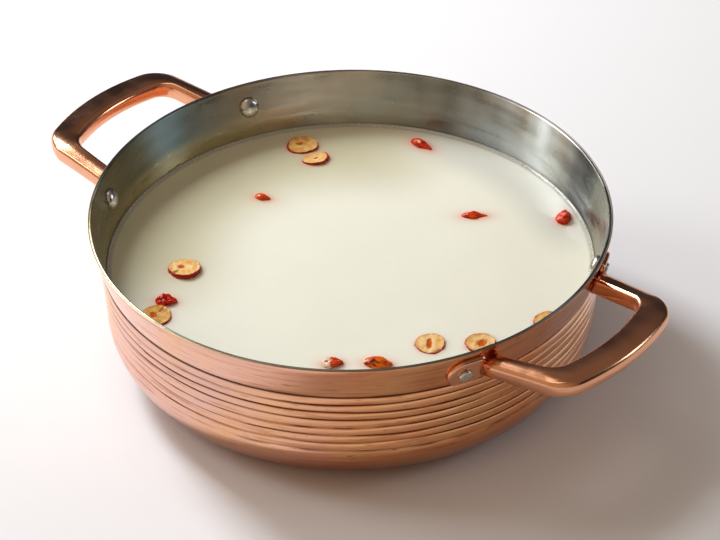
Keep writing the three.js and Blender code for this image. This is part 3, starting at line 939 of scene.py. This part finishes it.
def date_slice_shell(number):
    """Points, faces and shading attributes of one slice of date."""
    x, y, long, short, bearing, stand, thick, tilt, tilt_to = DATE_SLICES[number]
    slot_turn, slot_long, slot_wide, slot_off, slot_to, amber, *skin_look = DATE_LOOKS[number]
    skin_to, skin_broad = skin_look
    slot_way = radians(slot_to - bearing)
    slot_middle = Vector((cos(slot_way), sin(slot_way))) * slot_off
    slot_cos, slot_sin = cos(radians(slot_turn - bearing)), sin(radians(slot_turn - bearing))
    phase = np.random.default_rng(SEED + number).uniform(0, tau, 4)
    points, attributes = [], {key: [] for key in ("skin", "pale", "slot", "amber", "bruise")}

    def add(radius, angle, depth, rise, skin):
        """Adds a point of a row: first its crinkled outline, then slot, skin and bruises."""
        ux, uy = cos(angle) * radius, sin(angle) * radius
        wobble = 1 + 0.035 * cos(3 * angle + bearing) * radius
        crinkle = 0.014 * sin(7 * angle + phase[0]) + 0.008 * sin(17 * angle + phase[1])
        px = ux * wobble * (1 + crinkle * radius**3) * long
        py = uy * wobble * (1 + crinkle * radius**3) * short
        on_face = depth == 0 and radius < 0.96
        pz = rise - depth * thick
        if 0.3 < depth < 1.1:
            bulge = 0.02 * sin(12 * angle + phase[2]) + 0.015 * sin(23 * angle + phase[3])
            px, py = px * (1 + bulge), py * (1 + bulge)
        slot = pale = bruise = 0.0
        if on_face:
            fx, fy = ux - slot_middle.x, uy - slot_middle.y
            u, v = slot_cos * fx + slot_sin * fy, -slot_sin * fx + slot_cos * fy
            ragged = 1 + 0.35 * noise.noise(Vector((u * 6, v * 6, number * 2.7)))
            reach = sqrt((u / slot_long) ** 2 + (v / slot_wide) ** 2) / ragged
            slot = ease((1.2 - reach) / 0.45)
            pale = ease((2.4 - reach) / 0.9) * (1 - slot) * 0.7 * (1 - amber)
            uneven = noise.noise(Vector((px * 0.5, py * 0.5, number * 3.1))) * 0.25
            pz += uneven - 0.4 * ease((1.3 - reach) / 0.8)
        if on_face and skin < 1:
            towards = 0.5 + 0.5 * cos(angle - radians(skin_to - bearing))
            broad = skin_broad * towards**3
            border = ease((radius - (0.95 - 0.085 * broad)) / 0.03)
            skin = max(skin * (0.25 + 0.75 * towards), border * min(broad, 1))
        for slice_number, bruise_to, way, bruise_long, bruise_wide in DATE_BRUISES:
            if slice_number == number and depth == 0:
                a = radians(bruise_to - bearing)
                u, v = ux * cos(a) + uy * sin(a) - way, -ux * sin(a) + uy * cos(a)
                reach = sqrt((u / bruise_long) ** 2 + (v / bruise_wide) ** 2)
                bruise = ease((1.3 - reach) / 0.7)
                pz -= 0.35 * bruise
        fresh = noise.noise(Vector((ux * 1.7, uy * 1.7, number * 5.3)))
        points.append((px, py, pz))
        values = (skin, pale, slot, min(max(amber + 0.9 * fresh, 0.0), 1.0), bruise * 0.8)
        for key, value in zip(attributes, values):
            attributes[key].append(value)

    around = 120
    add(0, 0, *DATE_ROWS[0][1:])
    for radius, *rest in DATE_ROWS[1:-1]:
        for step in range(around):
            add(radius, tau * step / around, *rest)
    add(0, 0, *DATE_ROWS[-1][1:])
    faces = capped_rings(len(DATE_ROWS) - 2, around)
    return afloat(points, x, y, stand, bearing, tilt, tilt_to), faces, attributes


# How crumpled each berry is, how much of its near end is pale, how strong the painted shade in its
# creases is, how orange it is, and the place along it and size of a spot on top: pale, or a painted
# dark glint where the size is below 0.
GOJI_LOOKS = (
    (0.6, 0.0, 0.5, 0.25, 0, 0),
    (1.1, 0.0, 1.0, 0.1, -0.1, 0.13),
    (0.9, 0.0, 0.6, 0.15, 0, 0),
    (1.5, 0.0, 1.3, 0.1, 0, 0),
    (1.6, 0.0, 1.2, 0.0, 0, 0),
    (1.1, 0.46, 0.9, 0.2, 0, 0),
    (1.2, 0.14, 1.2, 0.75, -0.3, -0.22),
)


def goji_shell(number):
    """Points, faces and shading attributes of one berry."""
    x, y, long, wide, high, bearing, lift, pinch, phase = GOJI_BERRIES[number]
    crumple, split, crease_shade_strength, orange, spot_at, spot_size = GOJI_LOOKS[number]
    points, attributes = [], {"fold": [], "pale": [], "orange": []}

    def add(lat, azimuth):
        """Adds a point at an angle from the near tip and round the berry, crumpled and folded."""
        along, ring = -cos(lat), sin(lat)
        py, pz = ring * cos(azimuth), ring * sin(azimuth)
        crease = cos(3 * azimuth + phase + 2 * along)
        fine = noise.noise(Vector((along * 2.4 + number * 3.3, py * 2.6, pz * 2.6)))
        finer = noise.noise(Vector((along * 6 + number * 1.7, py * 6, pz * 6)))
        narrow = 1 - 0.55 * pinch * ease((along + 0.15) / 0.9)
        swell = (1 + crumple * (0.1 * crease + 0.17 * fine + 0.07 * finer)) * narrow
        points.append((along * long, py * swell * wide, pz * swell * high))
        sunk = -crease * 0.7 - fine * 1.5 - finer * 0.9
        # Painted shade in the creases, darker where the skin sinks.
        fold = min(max(sunk * crease_shade_strength - 0.3, 0.0), 1.0)
        ragged = 0.25 * fine + 0.2 * finer
        pale = ease((split * 2 - 1 - along + ragged) / 0.25) if split else 0.0
        if spot_size:
            gap = sqrt((along - spot_at) ** 2 + (0.6 * (py + 0.35)) ** 2) / abs(spot_size)
            spot = ease(1.4 - gap + ragged) * (pz > 0)
            pale = max(pale, spot) if spot_size > 0 else pale
            # A spot whose size is below 0 is a painted dark glint.
            fold = max(fold, spot) if spot_size < 0 else fold
        attributes["pale"].append(pale)
        attributes["fold"].append(fold)
        attributes["orange"].append(min(max(orange + orange * 1.2 * (fine - 0.4 * py), 0.0), 1.0))

    around, along_steps = 72, 52
    add(0, 0)
    for row in range(1, along_steps):
        for step in range(around):
            add(pi * row / along_steps, tau * step / around)
    add(pi, 0)
    faces = capped_rings(along_steps - 1, around)
    return afloat(points, x, y, lift, bearing), faces, attributes


# ---------------------------------------------------------------- broth

CLIMB_START = 0.1371  # radius at which the broth begins to climb the wall
CLIMB_CURVE = 2.2
SURFACE_DROP = 0.0001  # how far the flat surface lies under the broth's nominal level


def float_distance(x, y, centre_x, centre_y, long, short, bearing):
    """Distance in millimetres from a point to the edge of an oval, below 0 inside it."""
    a = radians(bearing)
    u = (x - centre_x) * cos(a) + (y - centre_y) * sin(a)
    v = -(x - centre_x) * sin(a) + (y - centre_y) * cos(a)
    share = np.sqrt((u / long) ** 2 + (v / short) ** 2)
    return (share - 1) * min(long, short)


def one_side(radius, angle, bearing, start, spread, low, span):
    """0 to 1 outward from a radius and towards a bearing, whose gap is given as cosines."""
    outward = np.clip((radius - start) / spread, 0, 1)
    sideways = np.clip((np.cos(angle - radians(bearing)) - low) / span, 0, 1)
    return outward**2 * (3 - 2 * outward) * sideways**2 * (3 - 2 * sideways)


def fading(gap, distance):
    """1 inside a floating piece's edge, fading away outside it; both in millimetres."""
    return np.exp(-np.clip(gap, 0, None) / distance)


def broth_shell(settings):
    """Points, faces and shading attributes of the broth, with a meniscus at the wall."""
    around, edge = 320, wall_radius(settings.surface, WALL) - 0.0002
    level = settings.surface - SURFACE_DROP
    radii = [0.002 + 0.1335 * i / 110 for i in range(111)]
    radii += [0.1362, 0.1367, 0.1371, 0.1375, 0.1379, 0.1383, 0.1387, 0.1391, 0.1395, edge]
    angles = np.arange(around) * tau / around
    radius = np.repeat(radii, around)
    angle = np.tile(angles, len(radii))
    x, y = radius * np.cos(angle), radius * np.sin(angle)
    climb = np.clip((radius - CLIMB_START) / (edge - CLIMB_START), 0, 1)
    z = level + settings.meniscus * climb**CLIMB_CURVE
    # The broth takes a painted red glow by the floating pieces, climbs them a little and is lower
    # under the slices.
    tint, sunk = np.zeros(len(x)), np.zeros(len(x))
    for sx, sy, long, short, bearing, *_ in DATE_SLICES:
        gap = float_distance(x * 1000, y * 1000, sx, sy, long, short, bearing)
        tint = np.maximum(tint, 0.3 * fading(gap, 1.5))
        z += 0.00035 * fading(gap, 0.9)
        sunk = np.maximum(sunk, np.clip((-0.9 - gap) / 0.8, 0, 1))
    for gx, gy, long, wide, _, bearing, *_ in GOJI_BERRIES:
        gap = float_distance(x * 1000, y * 1000, gx, gy, long, wide, bearing)
        tint = np.maximum(tint, 0.5 * fading(gap, 2.0))
        z += 0.0003 * fading(gap, 0.8)
    z = np.minimum(z, settings.surface + 0.0015) - 0.0012 * sunk
    # Painted shade: a dark band where the broth meets the wall.
    painted_band = np.clip((radius - 0.1368) / 0.0012, 0, 1) * 0.6
    # Painted shadow of the wall: the broth is yellower and darker near the wall on one side.
    deep = one_side(radius, angle, WALL_SHADE_BEARING, 0.05, 0.055, 0.1, 0.65)
    # Painted shade: the broth is greyer near the wall on its brightly lit side.
    far = one_side(radius, angle, GREY_SHADE_BEARING, 0.1, 0.024, 0.766, 0.185)
    points = list(zip(x, y, z))
    faces = ring_faces(len(radii), around)
    # Under the surface the broth follows the lining down to the base.
    below = [(wall_radius(h, WALL + 0.0002), h) for h in (0.055, 0.045, CORNER_RADIUS)]
    below += corner_arc(WALL + 0.0003, pi / 2, 10)[::-1][1:]
    for reach, height in below:
        points += [(reach * cos(a), reach * sin(a), height) for a in angles]
    faces += ring_faces(len(below) + 1, around, (len(radii) - 1) * around)
    faces += fan(len(points), 0, around)
    faces += fan(len(points) + 1, (len(radii) + len(below) - 1) * around, around)
    points += [(0, 0, level), (0, 0, WALL + 0.0003)]
    points, faces = join_shells((points, faces), *edge_bubbles(settings))
    rest = [0] * (len(points) - len(x))
    attributes = {"tint": tint, "edge": painted_band, "deep": deep, "far": far}
    return points, faces, {key: list(values) + rest for key, values in attributes.items()}


def edge_bubbles(settings):
    """Shells of the small bubbles that gather where the broth meets the wall."""
    rng = np.random.default_rng(SEED)
    sides, tilts = 10, (0.45, 0.95, 1.5)
    shells = []
    for _ in range(settings.bubbles):
        azimuth, size = rng.uniform(0, tau), rng.uniform(0.00018, 0.00042)
        crowd = slow_noise(azimuth, 71, 4)
        if crowd < rng.uniform(-0.9, 0.9):
            continue
        reach = wall_radius(settings.surface, WALL) - 0.0006 - size - rng.exponential(0.00035)
        climb = min(max((reach - CLIMB_START) / 0.0021, 0), 1)
        height = settings.surface + settings.meniscus * climb**CLIMB_CURVE
        middle = Vector((reach * cos(azimuth), reach * sin(azimuth), height))
        points = [middle + Vector((0, 0, size * 0.8))]
        for tilt in tilts:
            for side in range(sides):
                a = tau * side / sides
                way = Vector((sin(tilt) * cos(a), sin(tilt) * sin(a), 0.8 * cos(tilt)))
                points.append(middle + way * size)
        points.append(middle - Vector((0, 0, size * 0.5)))
        shells.append((points, capped_rings(len(tilts), sides)))
    return shells


# ---------------------------------------------------------------- settings


def number(name, description, default, **rest):
    return FloatProperty(name=name, description=description, default=default, **rest)


def length(name, description, default):
    return number(name, description, default, min=0, unit="LENGTH", precision=5)


def angle(name, description, degrees):
    return number(name, description, radians(degrees), subtype="ANGLE")


def whole(name, description, default, least):
    return IntProperty(name=name, description=description, default=default, min=least)


def colour(name, description, default):
    return FloatVectorProperty(
        name=name, description=description, default=default, size=3, min=0, max=1, subtype="COLOR"
    )


class PanSettings(bpy.types.PropertyGroup):
    """The pan's wall and its finishes."""

    copper_thickness: length("Copper thickness", "Thickness of the copper outside", 0.0013)
    rib_depth: length("Rib depth", "Depth of the grooves between the ribs", 0.001)
    steps: whole("Steps", "Facets round the pan", 384, 64)
    copper: colour("Copper", "Colour of the turned copper", (0.8, 0.35, 0.17))
    # Painted highlight colour of the side that faces the key light.
    rosy: colour("Rosy copper", "Its rosy side", (0.82, 0.5, 0.4))
    # Painted reflection colour of the side by the right handle.
    pink: colour("Pink copper", "Its pink side by the right handle", (0.93, 0.58, 0.45))
    golden: colour("Golden copper", "Its golden clouds", (0.87, 0.475, 0.225))
    # Browns the streaks, and paints shade on the lower edge.
    browned_and_shaded: colour("Browned copper", "Its browned streaks and lower edge", (0.42, 0.13, 0.06))
    # Painted shade in the grooves between the ribs.
    groove: colour("Groove", "The grooves between the ribs", (0.085, 0.017, 0.006))
    # Painted dark reflection on the rim's lip; its painted highlight on the rosy side follows.
    lip: colour("Lip", "The cut edge of the copper at the rim", (0.2, 0.17, 0.15))
    lip_highlight: colour("Lip highlight", "The same edge on the rosy side", (0.68, 0.56, 0.38))
    copper_roughness: number("Copper roughness", "Roughness of the copper", 0.13)
    steel: colour("Steel", "Colour of the steel lining", (0.48, 0.475, 0.44))
    steel_roughness: number("Steel roughness", "Roughness of the lining", 0.3)


class HandleSettings(bpy.types.PropertyGroup):
    """The loop handles, their ears and rivets."""

    arm_thickness: length("Arm thickness", "Thickness of the two arms", 0.0117)
    grip_thickness: length("Grip thickness", "Thickness of the grip", 0.0106)
    edge_round: length("Edge rounding", "Radius of the bar's edges", 0.0031)
    crown: length("Crown", "Swell of the bar's faces", 0.00045)
    arm_lean: number("Arm lean", "Slope across the arms", -0.148)
    grip_lean: number("Grip lean", "Slope across the grip", -0.04)
    ear_radius: length("Ear radius", "Radius of the round end about the rivet", 0.0102)
    ear_below: length("Ear below", "From the rivet down to the ear's lower edge", 0.0085)
    ear_inboard: length("Ear inboard", "From the rivet to where the ear ends in the arm", 0.012)
    ear_edge: length("Ear edge", "Rounding of the ear's edge", 0.0016)
    copper: colour("Copper", "Colour of the cast copper", (0.86, 0.43, 0.25))
    roughness: number("Roughness", "Roughness of the cast copper", 0.17)
    rivet: colour("Rivet", "Colour of the rivets", (0.66, 0.64, 0.6))
    rivet_roughness: number("Rivet roughness", "Roughness of the rivets", 0.26)


class BrothSettings(bpy.types.PropertyGroup):
    """The broth's level and colours."""

    surface: length("Surface", "Height of the broth over the base", 0.0617)
    meniscus: length("Meniscus", "How high the broth climbs at the wall", 0.0011)
    colour: colour("Broth", "Colour of the broth", (0.865, 0.87, 0.75))
    # Painted shadow of the wall on the broth.
    deep: colour("Deep", "Its yellower side", (0.6, 0.57, 0.4))
    # Painted shade on the broth's brightly lit side.
    far: colour("Far", "Its greyer side", (0.665, 0.685, 0.61))
    # Painted red glow round the dates and berries.
    tint: colour("Tint", "Colour of the broth close to dates and berries", (0.72, 0.2, 0.13))
    # Painted shade where the broth meets the wall.
    edge: colour("Edge", "Colour of the thin film at the wall", (0.34, 0.33, 0.29))
    bubbles: whole("Bubbles", "Small bubbles along the wall", 900, 0)
    gloss: number("Gloss", "Roughness of the surface", 0.08)


class FoodSettings(bpy.types.PropertyGroup):
    """Colours of the date slices and goji berries."""

    flesh: colour("Flesh", "Colour of the cut date", (0.84, 0.48, 0.13))
    flesh_pale: colour("Pale flesh", "Paler parts of the cut date", (0.86, 0.62, 0.29))
    flesh_dark: colour("Dark flesh", "Amber parts of the cut date", (0.62, 0.29, 0.04))
    bruise: colour("Bruise", "Bruised patches of the cut date", (0.3, 0.1, 0.02))
    spot: colour("Spots", "Small brown spots in the flesh", (0.5, 0.17, 0.02))
    ring: colour("Ring", "Pale ring round the slot", (0.88, 0.66, 0.33))
    slot: colour("Slot", "The slot where the stone was", (0.56, 0.1, 0.0))
    skin: colour("Skin", "Colour of the date's skin", (0.34, 0.003, 0.008))
    skin_light: colour("Light skin", "Thin parts of the skin", (0.52, 0.05, 0.015))
    goji: colour("Goji", "Colour of the berries", (0.52, 0.004, 0.002))
    goji_light: colour("Light goji", "Lighter parts of the berries", (0.72, 0.045, 0.005))
    goji_orange: colour("Orange goji", "Where the skin is stretched", (0.85, 0.17, 0.008))
    # Painted shade in the creases of the berries, and painted dark glints.
    goji_shade: colour("Goji shade", "Folds of the berries", (0.16, 0.003, 0.003))
    goji_pale: colour("Pale goji", "Where a berry has split", (0.8, 0.6, 0.4))


class StageSettings(bpy.types.PropertyGroup):
    """The camera, lights and floor."""

    bearing: angle("Bearing", "Turn of the camera about the pot", 40.11)
    distance: length("Distance", "Camera's distance from the axis", 1.86762)
    height: length("Camera height", "Camera's height over the floor", 1.40312)
    pitch: angle("Pitch", "How far the camera looks down", 35.833)
    yaw: angle("Yaw", "Turn of the view off the axis", 0.16)
    roll: angle("Roll", "Tilt of the view", -0.701)
    lens: number("Lens", "Focal length in millimetres", 200)
    floor: colour("Floor", "Colour of the floor", (0.87, 0.885, 0.91))


# ---------------------------------------------------------------- operators


class HOTPOT_OT_pan(bpy.types.Operator):
    """Build the pan: its copper outside and its steel lining"""

    bl_idname = "hotpot.pan"
    bl_label = "Pan"

    def execute(self, context):
        settings = context.scene.pan_settings
        copper = copper_material("turned_copper", settings)
        steel = lining_material("satin_steel", settings.steel, settings.steel_roughness)
        points, faces = turned(
            shell_profile(0, settings), settings.steps, partial(shell_profile, settings=settings)
        )
        groove, lip = [], []
        # Point attributes for the painted shade in the grooves and for the rim's lip.
        for x, y, z in points:
            ribbed = GROOVES[0] - 0.002 < z < BAND_FOOT + 0.001
            outside = ribbed and sqrt(x * x + y * y) > wall_radius(z) - 0.0012
            groove.append(painted_groove_shade(atan2(y, x), z) if outside else 0.0)
            lip.append(ease((z - HEIGHT + 0.0003) / 0.00015))
        add_piece(
            "pan_copper", points, faces, material=copper, node="pot_body",
            attributes={"groove": groove, "lip": lip},
        )
        points, faces = turned(lining_profile(settings), settings.steps)
        add_piece(
            "pan_lining", points, faces, material=steel, node="pot_body"
        )
        return {"FINISHED"}


class HOTPOT_OT_handles(bpy.types.Operator):
    """Build the two loop handles with their riveted ears"""

    bl_idname = "hotpot.handles"
    bl_label = "Handles"

    def execute(self, context):
        settings = context.scene.handle_settings
        copper = handle_material("cast_copper", settings.copper, settings.roughness)
        ears = [ear_shell(side, settings) for side in (-1, 1)]
        points, faces = join_shells(lofted(loop_rings(settings)), *ears)
        for side, turn in (("right", 0), ("left", pi)):
            spin = Matrix.Rotation(turn, 3, "Z")
            add_piece(
                f"loop_handle_{side}", [spin @ Vector(p) for p in points], faces,
                material=copper, node=f"handle_{side}",
            )
        return {"FINISHED"}


class HOTPOT_OT_rivets(bpy.types.Operator):
    """Build the four rivets: a flat head on each ear and a domed head inside the pan"""

    bl_idname = "hotpot.rivets"
    bl_label = "Rivets"

    def execute(self, context):
        settings = context.scene.handle_settings
        steel = rivet_material("rivet_steel", settings.rivet, settings.rivet_roughness)
        on_ear = EAR_GAP + EAR_THICKNESS + 0.0001
        in_pan = -WALL * cos(BAND_SLOPE) - 0.0001
        for count, azimuth in enumerate(RIVET_AZIMUTHS, 1):
            points, faces = join_shells(
                rivet_head(azimuth, FLAT_ROWS, on_ear, 1, **FLAT_HEAD),
                rivet_head(azimuth, DOMED_ROWS, in_pan, -1, **DOMED_HEAD),
            )
            add_piece(
                f"rivet_heads_{count}", points, faces,
                material=steel, node=f"rivet_{count}",
            )
        return {"FINISHED"}


class HOTPOT_OT_broth(bpy.types.Operator):
    """Fill the pan with broth"""

    bl_idname = "hotpot.broth"
    bl_label = "Broth"

    def execute(self, context):
        settings = context.scene.broth_settings
        material = broth_material("milky_broth", settings)
        points, faces, attributes = broth_shell(settings)
        add_piece(
            "broth_surface", points, faces,
            material=material, node="broth", attributes=attributes,
        )
        return {"FINISHED"}


class HOTPOT_OT_dates(bpy.types.Operator):
    """Float the slices of red date in the broth"""

    bl_idname = "hotpot.dates"
    bl_label = "Date slices"

    def execute(self, context):
        material = date_material("cut_date", context.scene.food_settings)
        for count in range(len(DATE_SLICES)):
            points, faces, attributes = date_slice_shell(count)
            add_piece(
                f"date_piece_{count + 1}", points, faces, material=material,
                node=f"date_slice_{count + 1}", attributes=attributes,
            )
        return {"FINISHED"}


class HOTPOT_OT_berries(bpy.types.Operator):
    """Float the goji berries in the broth"""

    bl_idname = "hotpot.berries"
    bl_label = "Goji berries"

    def execute(self, context):
        material = goji_material("goji_skin", context.scene.food_settings)
        for count in range(len(GOJI_BERRIES)):
            points, faces, attributes = goji_shell(count)
            add_piece(
                f"goji_piece_{count + 1}", points, faces, material=material,
                node=f"goji_berry_{count + 1}", attributes=attributes,
            )
        return {"FINISHED"}


# Name, azimuth from straight behind the pot as the camera sees it (left is above 0), elevation,
# distance, width and height in metres, power in watts and colour.
LIGHTS = (
    ("key", 43, 40, 1.7, 0.4, 0.75, 27.3, (0.95, 0.985, 1.03)),
    ("side_window", 78, 33, 1.7, 0.5, 0.8, 7, (0.96, 0.985, 1.02)),
    ("overhead", 60, 78, 1.7, 0.6, 0.6, 1.5, (1.0, 0.95, 0.88)),
    ("right_window", -88, 26, 1.8, 0.4, 0.6, 3.8, (0.8, 0.92, 1.0)),
)

# The room's bright side, its tones from the far side (0) to the bright side (1), and its ceiling
# with the sines of the elevations between which it begins.
ROOM_AZIMUTH, ROOM_ELEVATION = 125, 12
ROOM_TONES = (
    (0.0, (0.06, 0.06, 0.065)),
    (0.42, (0.02, 0.024, 0.038)),
    (0.58, (0.24, 0.17, 0.115)),
    (0.85, (0.52, 0.385, 0.26)),
)
ROOM_CEILING = (0.2, 0.145, 0.115)
CEILING_SINES = (0.52, 0.74)
FLOOR_LEVEL = -0.0001  # just under the base


def way_to(azimuth, elevation):
    """Direction to an azimuth and elevation, seen from the pot in the camera's frame."""
    a, e = radians(azimuth), radians(elevation)
    return Vector((-sin(a) * cos(e), cos(a) * cos(e), sin(e)))


class HOTPOT_OT_stage(bpy.types.Operator):
    """Set the pot on a pale floor under soft lights, with the camera"""

    bl_idname = "hotpot.stage"
    bl_label = "Stage"

    def execute(self, context):
        settings = context.scene.stage_settings
        turn = Matrix.Rotation(settings.bearing, 3, "Z")
        self.add_floor(context, settings)
        self.add_camera(context, settings, turn)
        for light in LIGHTS:
            self.add_light(context, turn, *light)
        self.set_world(context, turn)
        context.scene.view_settings.view_transform = "Standard"
        return {"FINISHED"}

    def add_floor(self, context, settings):
        steps, reach = 64, 6.0
        ring = [tau * i / steps for i in range(steps)]
        points = [(0, 0, FLOOR_LEVEL)]
        points += [(reach * cos(a), reach * sin(a), FLOOR_LEVEL) for a in ring]
        mesh = bpy.data.meshes.new("floor")
        mesh.from_pydata(points, [], fan(0, 1, steps))
        mesh.materials.append(floor_material("pale_floor", settings.floor))
        floor = bpy.data.objects.new("floor", mesh)
        context.scene.collection.objects.link(floor)

    def add_camera(self, context, settings, turn):
        cy, sy = cos(settings.yaw), sin(settings.yaw)
        cp, sp = cos(settings.pitch), sin(settings.pitch)
        forward, level = Vector((sy * cp, cy * cp, -sp)), Vector((cy, -sy, 0))
        upright = level.cross(forward)
        right = level * cos(settings.roll) + upright * sin(settings.roll)
        up = upright * cos(settings.roll) - level * sin(settings.roll)
        axes = Matrix((turn @ right, turn @ up, turn @ -forward)).transposed()
        data = bpy.data.cameras.new("camera")
        data.lens, data.sensor_width = settings.lens, 36
        data.clip_start, data.clip_end = 0.1, 50
        camera = bpy.data.objects.new("camera", data)
        place = turn @ Vector((0, -settings.distance, settings.height))
        camera.matrix_world = Matrix.Translation(place) @ axes.to_4x4()
        context.scene.collection.objects.link(camera)
        context.scene.camera = camera

    def add_light(
        self, context, turn, name, azimuth, elevation, distance, width, height, power, tone
    ):
        direction = turn @ way_to(azimuth, elevation)
        data = bpy.data.lights.new(name, "AREA")
        data.shape, data.size, data.size_y = "RECTANGLE", width, height
        data.energy, data.color = power, tone
        lamp = bpy.data.objects.new(name, data)
        facing = direction.to_track_quat("Z", "Y").to_matrix().to_4x4()
        lamp.matrix_world = Matrix.Translation(direction * distance) @ facing
        context.scene.collection.objects.link(lamp)

    def set_world(self, context, turn):
        """A room that is bright to the left of the pot and dark behind it."""
        world = bpy.data.worlds.new("soft_studio")
        world.use_nodes = True
        room = Nodes(world.node_tree)
        place = room.place("Generated")
        lean = room.node("ShaderNodeVectorMath", {0: place}, operation="DOT_PRODUCT")
        room.set(lean.inputs[1], turn @ way_to(ROOM_AZIMUTH, ROOM_ELEVATION))
        walls = room.ramp(room.range(lean.outputs["Value"], -1, 1), ROOM_TONES)
        above = room.range(room.split(place)[2], *CEILING_SINES)
        tone = room.mix(above, walls, (*ROOM_CEILING, 1), "LIGHTEN")
        room.set(world.node_tree.nodes["Background"].inputs["Color"], tone)
        context.scene.world = world


class HOTPOT_PT_panel(bpy.types.Panel):
    """The hot pot's settings and pieces"""

    bl_label = "Hot Pot"
    bl_idname = "HOTPOT_PT_panel"
    bl_space_type = "VIEW_3D"
    bl_region_type = "UI"
    bl_category = "Hot Pot"

    def draw(self, context):
        for holder, _, operators in PARTS:
            box = self.layout.box()
            settings = getattr(context.scene, holder)
            for key in settings.bl_rna.properties.keys():
                if key not in ("rna_type", "name"):
                    box.prop(settings, key)
            for operator in operators:
                box.operator(operator.bl_idname)


# Where the scene holds each group of settings, the group, and the operators that use it.
PARTS = (
    ("pan_settings", PanSettings, (HOTPOT_OT_pan,)),
    ("handle_settings", HandleSettings, (HOTPOT_OT_handles, HOTPOT_OT_rivets)),
    ("broth_settings", BrothSettings, (HOTPOT_OT_broth,)),
    ("food_settings", FoodSettings, (HOTPOT_OT_dates, HOTPOT_OT_berries)),
    ("stage_settings", StageSettings, (HOTPOT_OT_stage,)),
)


def register():
    for holder, group, operators in PARTS:
        bpy.utils.register_class(group)
        setattr(bpy.types.Scene, holder, PointerProperty(type=group))
        for operator in operators:
            bpy.utils.register_class(operator)
    bpy.utils.register_class(HOTPOT_PT_panel)


def unregister():
    bpy.utils.unregister_class(HOTPOT_PT_panel)
    for holder, group, operators in reversed(PARTS):
        for operator in reversed(operators):
            bpy.utils.unregister_class(operator)
        delattr(bpy.types.Scene, holder)
        bpy.utils.unregister_class(group)


def main():
    register()
    bpy.ops.hotpot.stage()
    bpy.ops.hotpot.pan()
    bpy.ops.hotpot.handles()
    bpy.ops.hotpot.rivets()
    bpy.ops.hotpot.broth()
    bpy.ops.hotpot.dates()
    bpy.ops.hotpot.berries()


if __name__ == "__main__":
    main()
